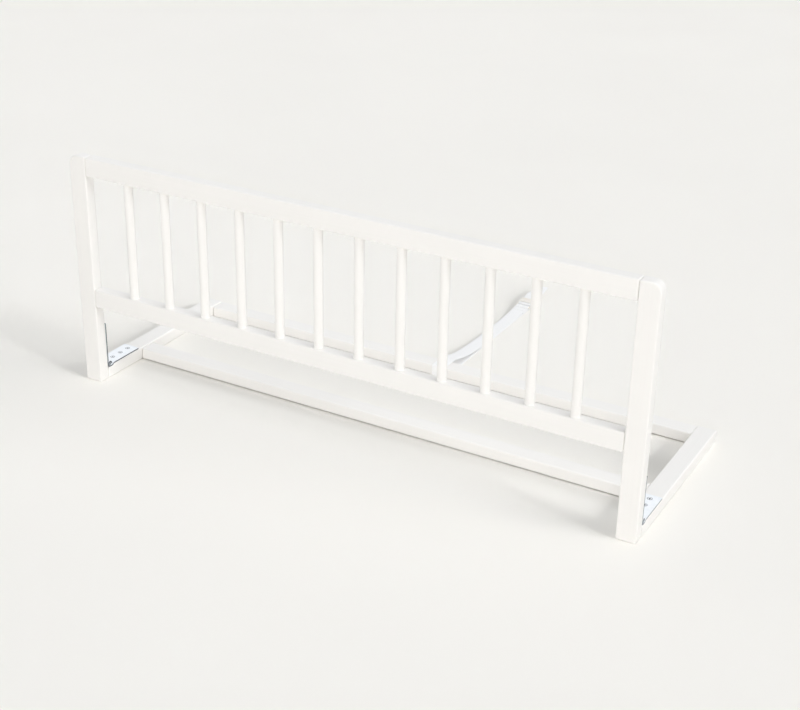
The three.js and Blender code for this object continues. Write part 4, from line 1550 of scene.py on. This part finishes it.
@dataclass(frozen=True)
class Viewpoint:
    """Where the photograph was taken from, and through what lens."""

    place: Triple = (1.0566, -1.8722, 1.1384)
    yaw: float = 29.088
    pitch: float = 25.784
    roll: float = 1.171
    lens: float = 65.99
    sensor: float = 36.0

    def build(self) -> None:
        """Makes the camera: its axes are right, up and back, turned by yaw, pitch and roll."""
        yaw, pitch, roll = map(math.radians, (self.yaw, self.pitch, self.roll))
        ahead = np.array([-math.sin(yaw) * math.cos(pitch), math.cos(yaw) * math.cos(pitch),
                          -math.sin(pitch)])
        level = np.array([math.cos(yaw), math.sin(yaw), 0])
        upright = np.cross(level, ahead)
        right = math.cos(roll) * level + math.sin(roll) * upright
        up = math.cos(roll) * upright - math.sin(roll) * level
        turn = Matrix(np.stack([right, up, -ahead], 1).tolist()).to_4x4()
        lens = bpy.data.cameras.new("photograph_camera")
        lens.lens, lens.sensor_width, lens.sensor_fit = self.lens, self.sensor, "HORIZONTAL"
        camera = in_scene("photograph_camera", lens)
        camera.matrix_world = Matrix.Translation(self.place) @ turn
        bpy.context.scene.camera = camera
        log.info("camera at %s", self.place)


class Reach(Enum):
    """What a lamp lights: everything, the guard without the floor, or the floor alone."""

    ALL = "ALL"
    GUARD = "EXCLUDE"
    FLOOR = "INCLUDE"

    def flag(self, holder: Object, floor: Object) -> None:
        """Flags a lamp off what it isn't to light. Shadows fall as before.

        Args:
            holder: The lamp.
            floor: The floor.
        """
        if self is Reach.ALL:
            return
        lit = bpy.data.collections.new(f"{holder.name}_reach")
        lit.objects.link(floor)
        lit.collection_objects[0].light_linking.link_state = self.value
        holder.light_linking.receiver_collection = lit


@dataclass(frozen=True)
class SoftSun:
    """A distant lamp: where it stands as seen from the guard, how strong, and how wide in degrees."""

    name: str
    azimuth: float
    elevation: float
    strength: float
    width: float
    reach: Reach = Reach.ALL
    tint: Triple = (1.0, 1.0, 1.0)

    def build(self, floor: Object) -> None:
        """Makes the lamp. Azimuth runs from the front, 0, to the right, 90.

        Args:
            floor: The floor.
        """
        lamp = bpy.data.lights.new(self.name, "SUN")
        lamp.energy, lamp.angle, lamp.color = self.strength, math.radians(self.width), self.tint
        holder = in_scene(self.name, lamp)
        holder.rotation_euler = (math.radians(90 - self.elevation), 0, math.radians(self.azimuth))
        self.reach.flag(holder, floor)


@dataclass(frozen=True)
class Softbox:
    """A lit panel facing the guard, flagged off the floor: its middle, size and power in watts."""

    name: str
    place: Triple
    size: Pair
    power: float
    tint: Triple

    def build(self, floor: Object) -> None:
        """Makes the lamp, level, turned to face the guard, unseen by any camera and off the floor.

        Args:
            floor: The floor, which the lamp doesn't light.
        """
        lamp = bpy.data.lights.new(self.name, "AREA")
        lamp.shape, lamp.size, lamp.size_y = "RECTANGLE", *self.size
        lamp.energy, lamp.color = self.power, self.tint
        holder = in_scene(self.name, lamp)
        holder.location = self.place
        holder.rotation_euler = (math.pi / 2, 0, math.atan2(self.place[0], -self.place[1]))
        holder.visible_camera = False
        Reach.GUARD.flag(holder, floor)


# The faintly blue light of the softboxes behind and overhead
COOL = (0.97, 0.985, 1.0)


@dataclass
class Studio:
    """The pale floor, the lamps and the even light all round."""

    floor_reach: float = 9.0
    world: float = 0.51
    world_tint: Triple = (0.97, 0.984, 1.0)
    lamps: tuple[SoftSun | Softbox, ...] = (
        SoftSun("key_from_right", 80, 28, 0.65, 10),
        SoftSun("softbox_right_behind", 120, 65, 0.6, 30, Reach.GUARD, COOL),
        SoftSun("softbox_behind", 150, 40, 0.35, 40, Reach.GUARD, COOL),
        SoftSun("softbox_overhead", 0, 85, 0.17, 35, Reach.GUARD, COOL),
        SoftSun("floor_from_front", 0, 60, 0.59, 8, Reach.FLOOR),
        SoftSun("floor_from_right", 95, 18, 1.75, 25, Reach.FLOOR),
        Softbox("fill_from_front", (0.7, -3.05, 0.6), (2.2, 1.1), 30.0, (1.0, 0.98, 0.958)),
    )

    def build(self) -> None:
        """Makes the floor, the world and the lamps."""
        reach = self.floor_reach
        corners = np.pad(rectangle(-reach, -reach, reach, reach), ((0, 0), (0, 1)))
        mesh = made_mesh("studio_floor", Shell(corners, [np.array([[0, 1, 2, 3]])]), crease=40)
        mesh.materials.append(FloorPaper().material())
        floor = in_scene("studio_floor", mesh)
        bpy.context.scene.world = self.light_all_round()
        for lamp in self.lamps:
            lamp.build(floor)
        bpy.context.scene.view_settings.view_transform = "Standard"
        log.info("studio with %d lamps", len(self.lamps))

    def light_all_round(self) -> bpy.types.World:
        """An even pale world: full strength to the eye and to gloss, and the lamps' level to the rest.

        Returns:
            The world.
        """
        mix = Recipe(bpy.data.worlds.new("studio_light"), "Background")
        seen = mix.node("LightPath", "Is Camera Ray", {})
        rays = seen.node.outputs
        for ray in ("Is Glossy Ray", "Is Transmission Ray"):
            seen = mix.maths("MAXIMUM", seen, rays[ray])
        mix.set(color=(*self.world_tint, 1.0), strength=mix.spread(seen, (0.0, 1.0), (self.world, 1.0)))
        return mix.owner


def main() -> None:
    """Builds the view, the belt, the timber, the hinges and the studio."""
    logging.basicConfig(level=logging.INFO, format="%(name)s: %(message)s")
    Viewpoint().build()
    finishes = Finishes()
    finishes.dress_frame()
    Belt(finishes).build()
    timber = Timber(finishes)
    Panel(timber).build()
    Base(timber).build()
    for side in Side:
        Hinge(finishes, side).build()
    Studio().build()


if __name__ == "__main__":
    main()
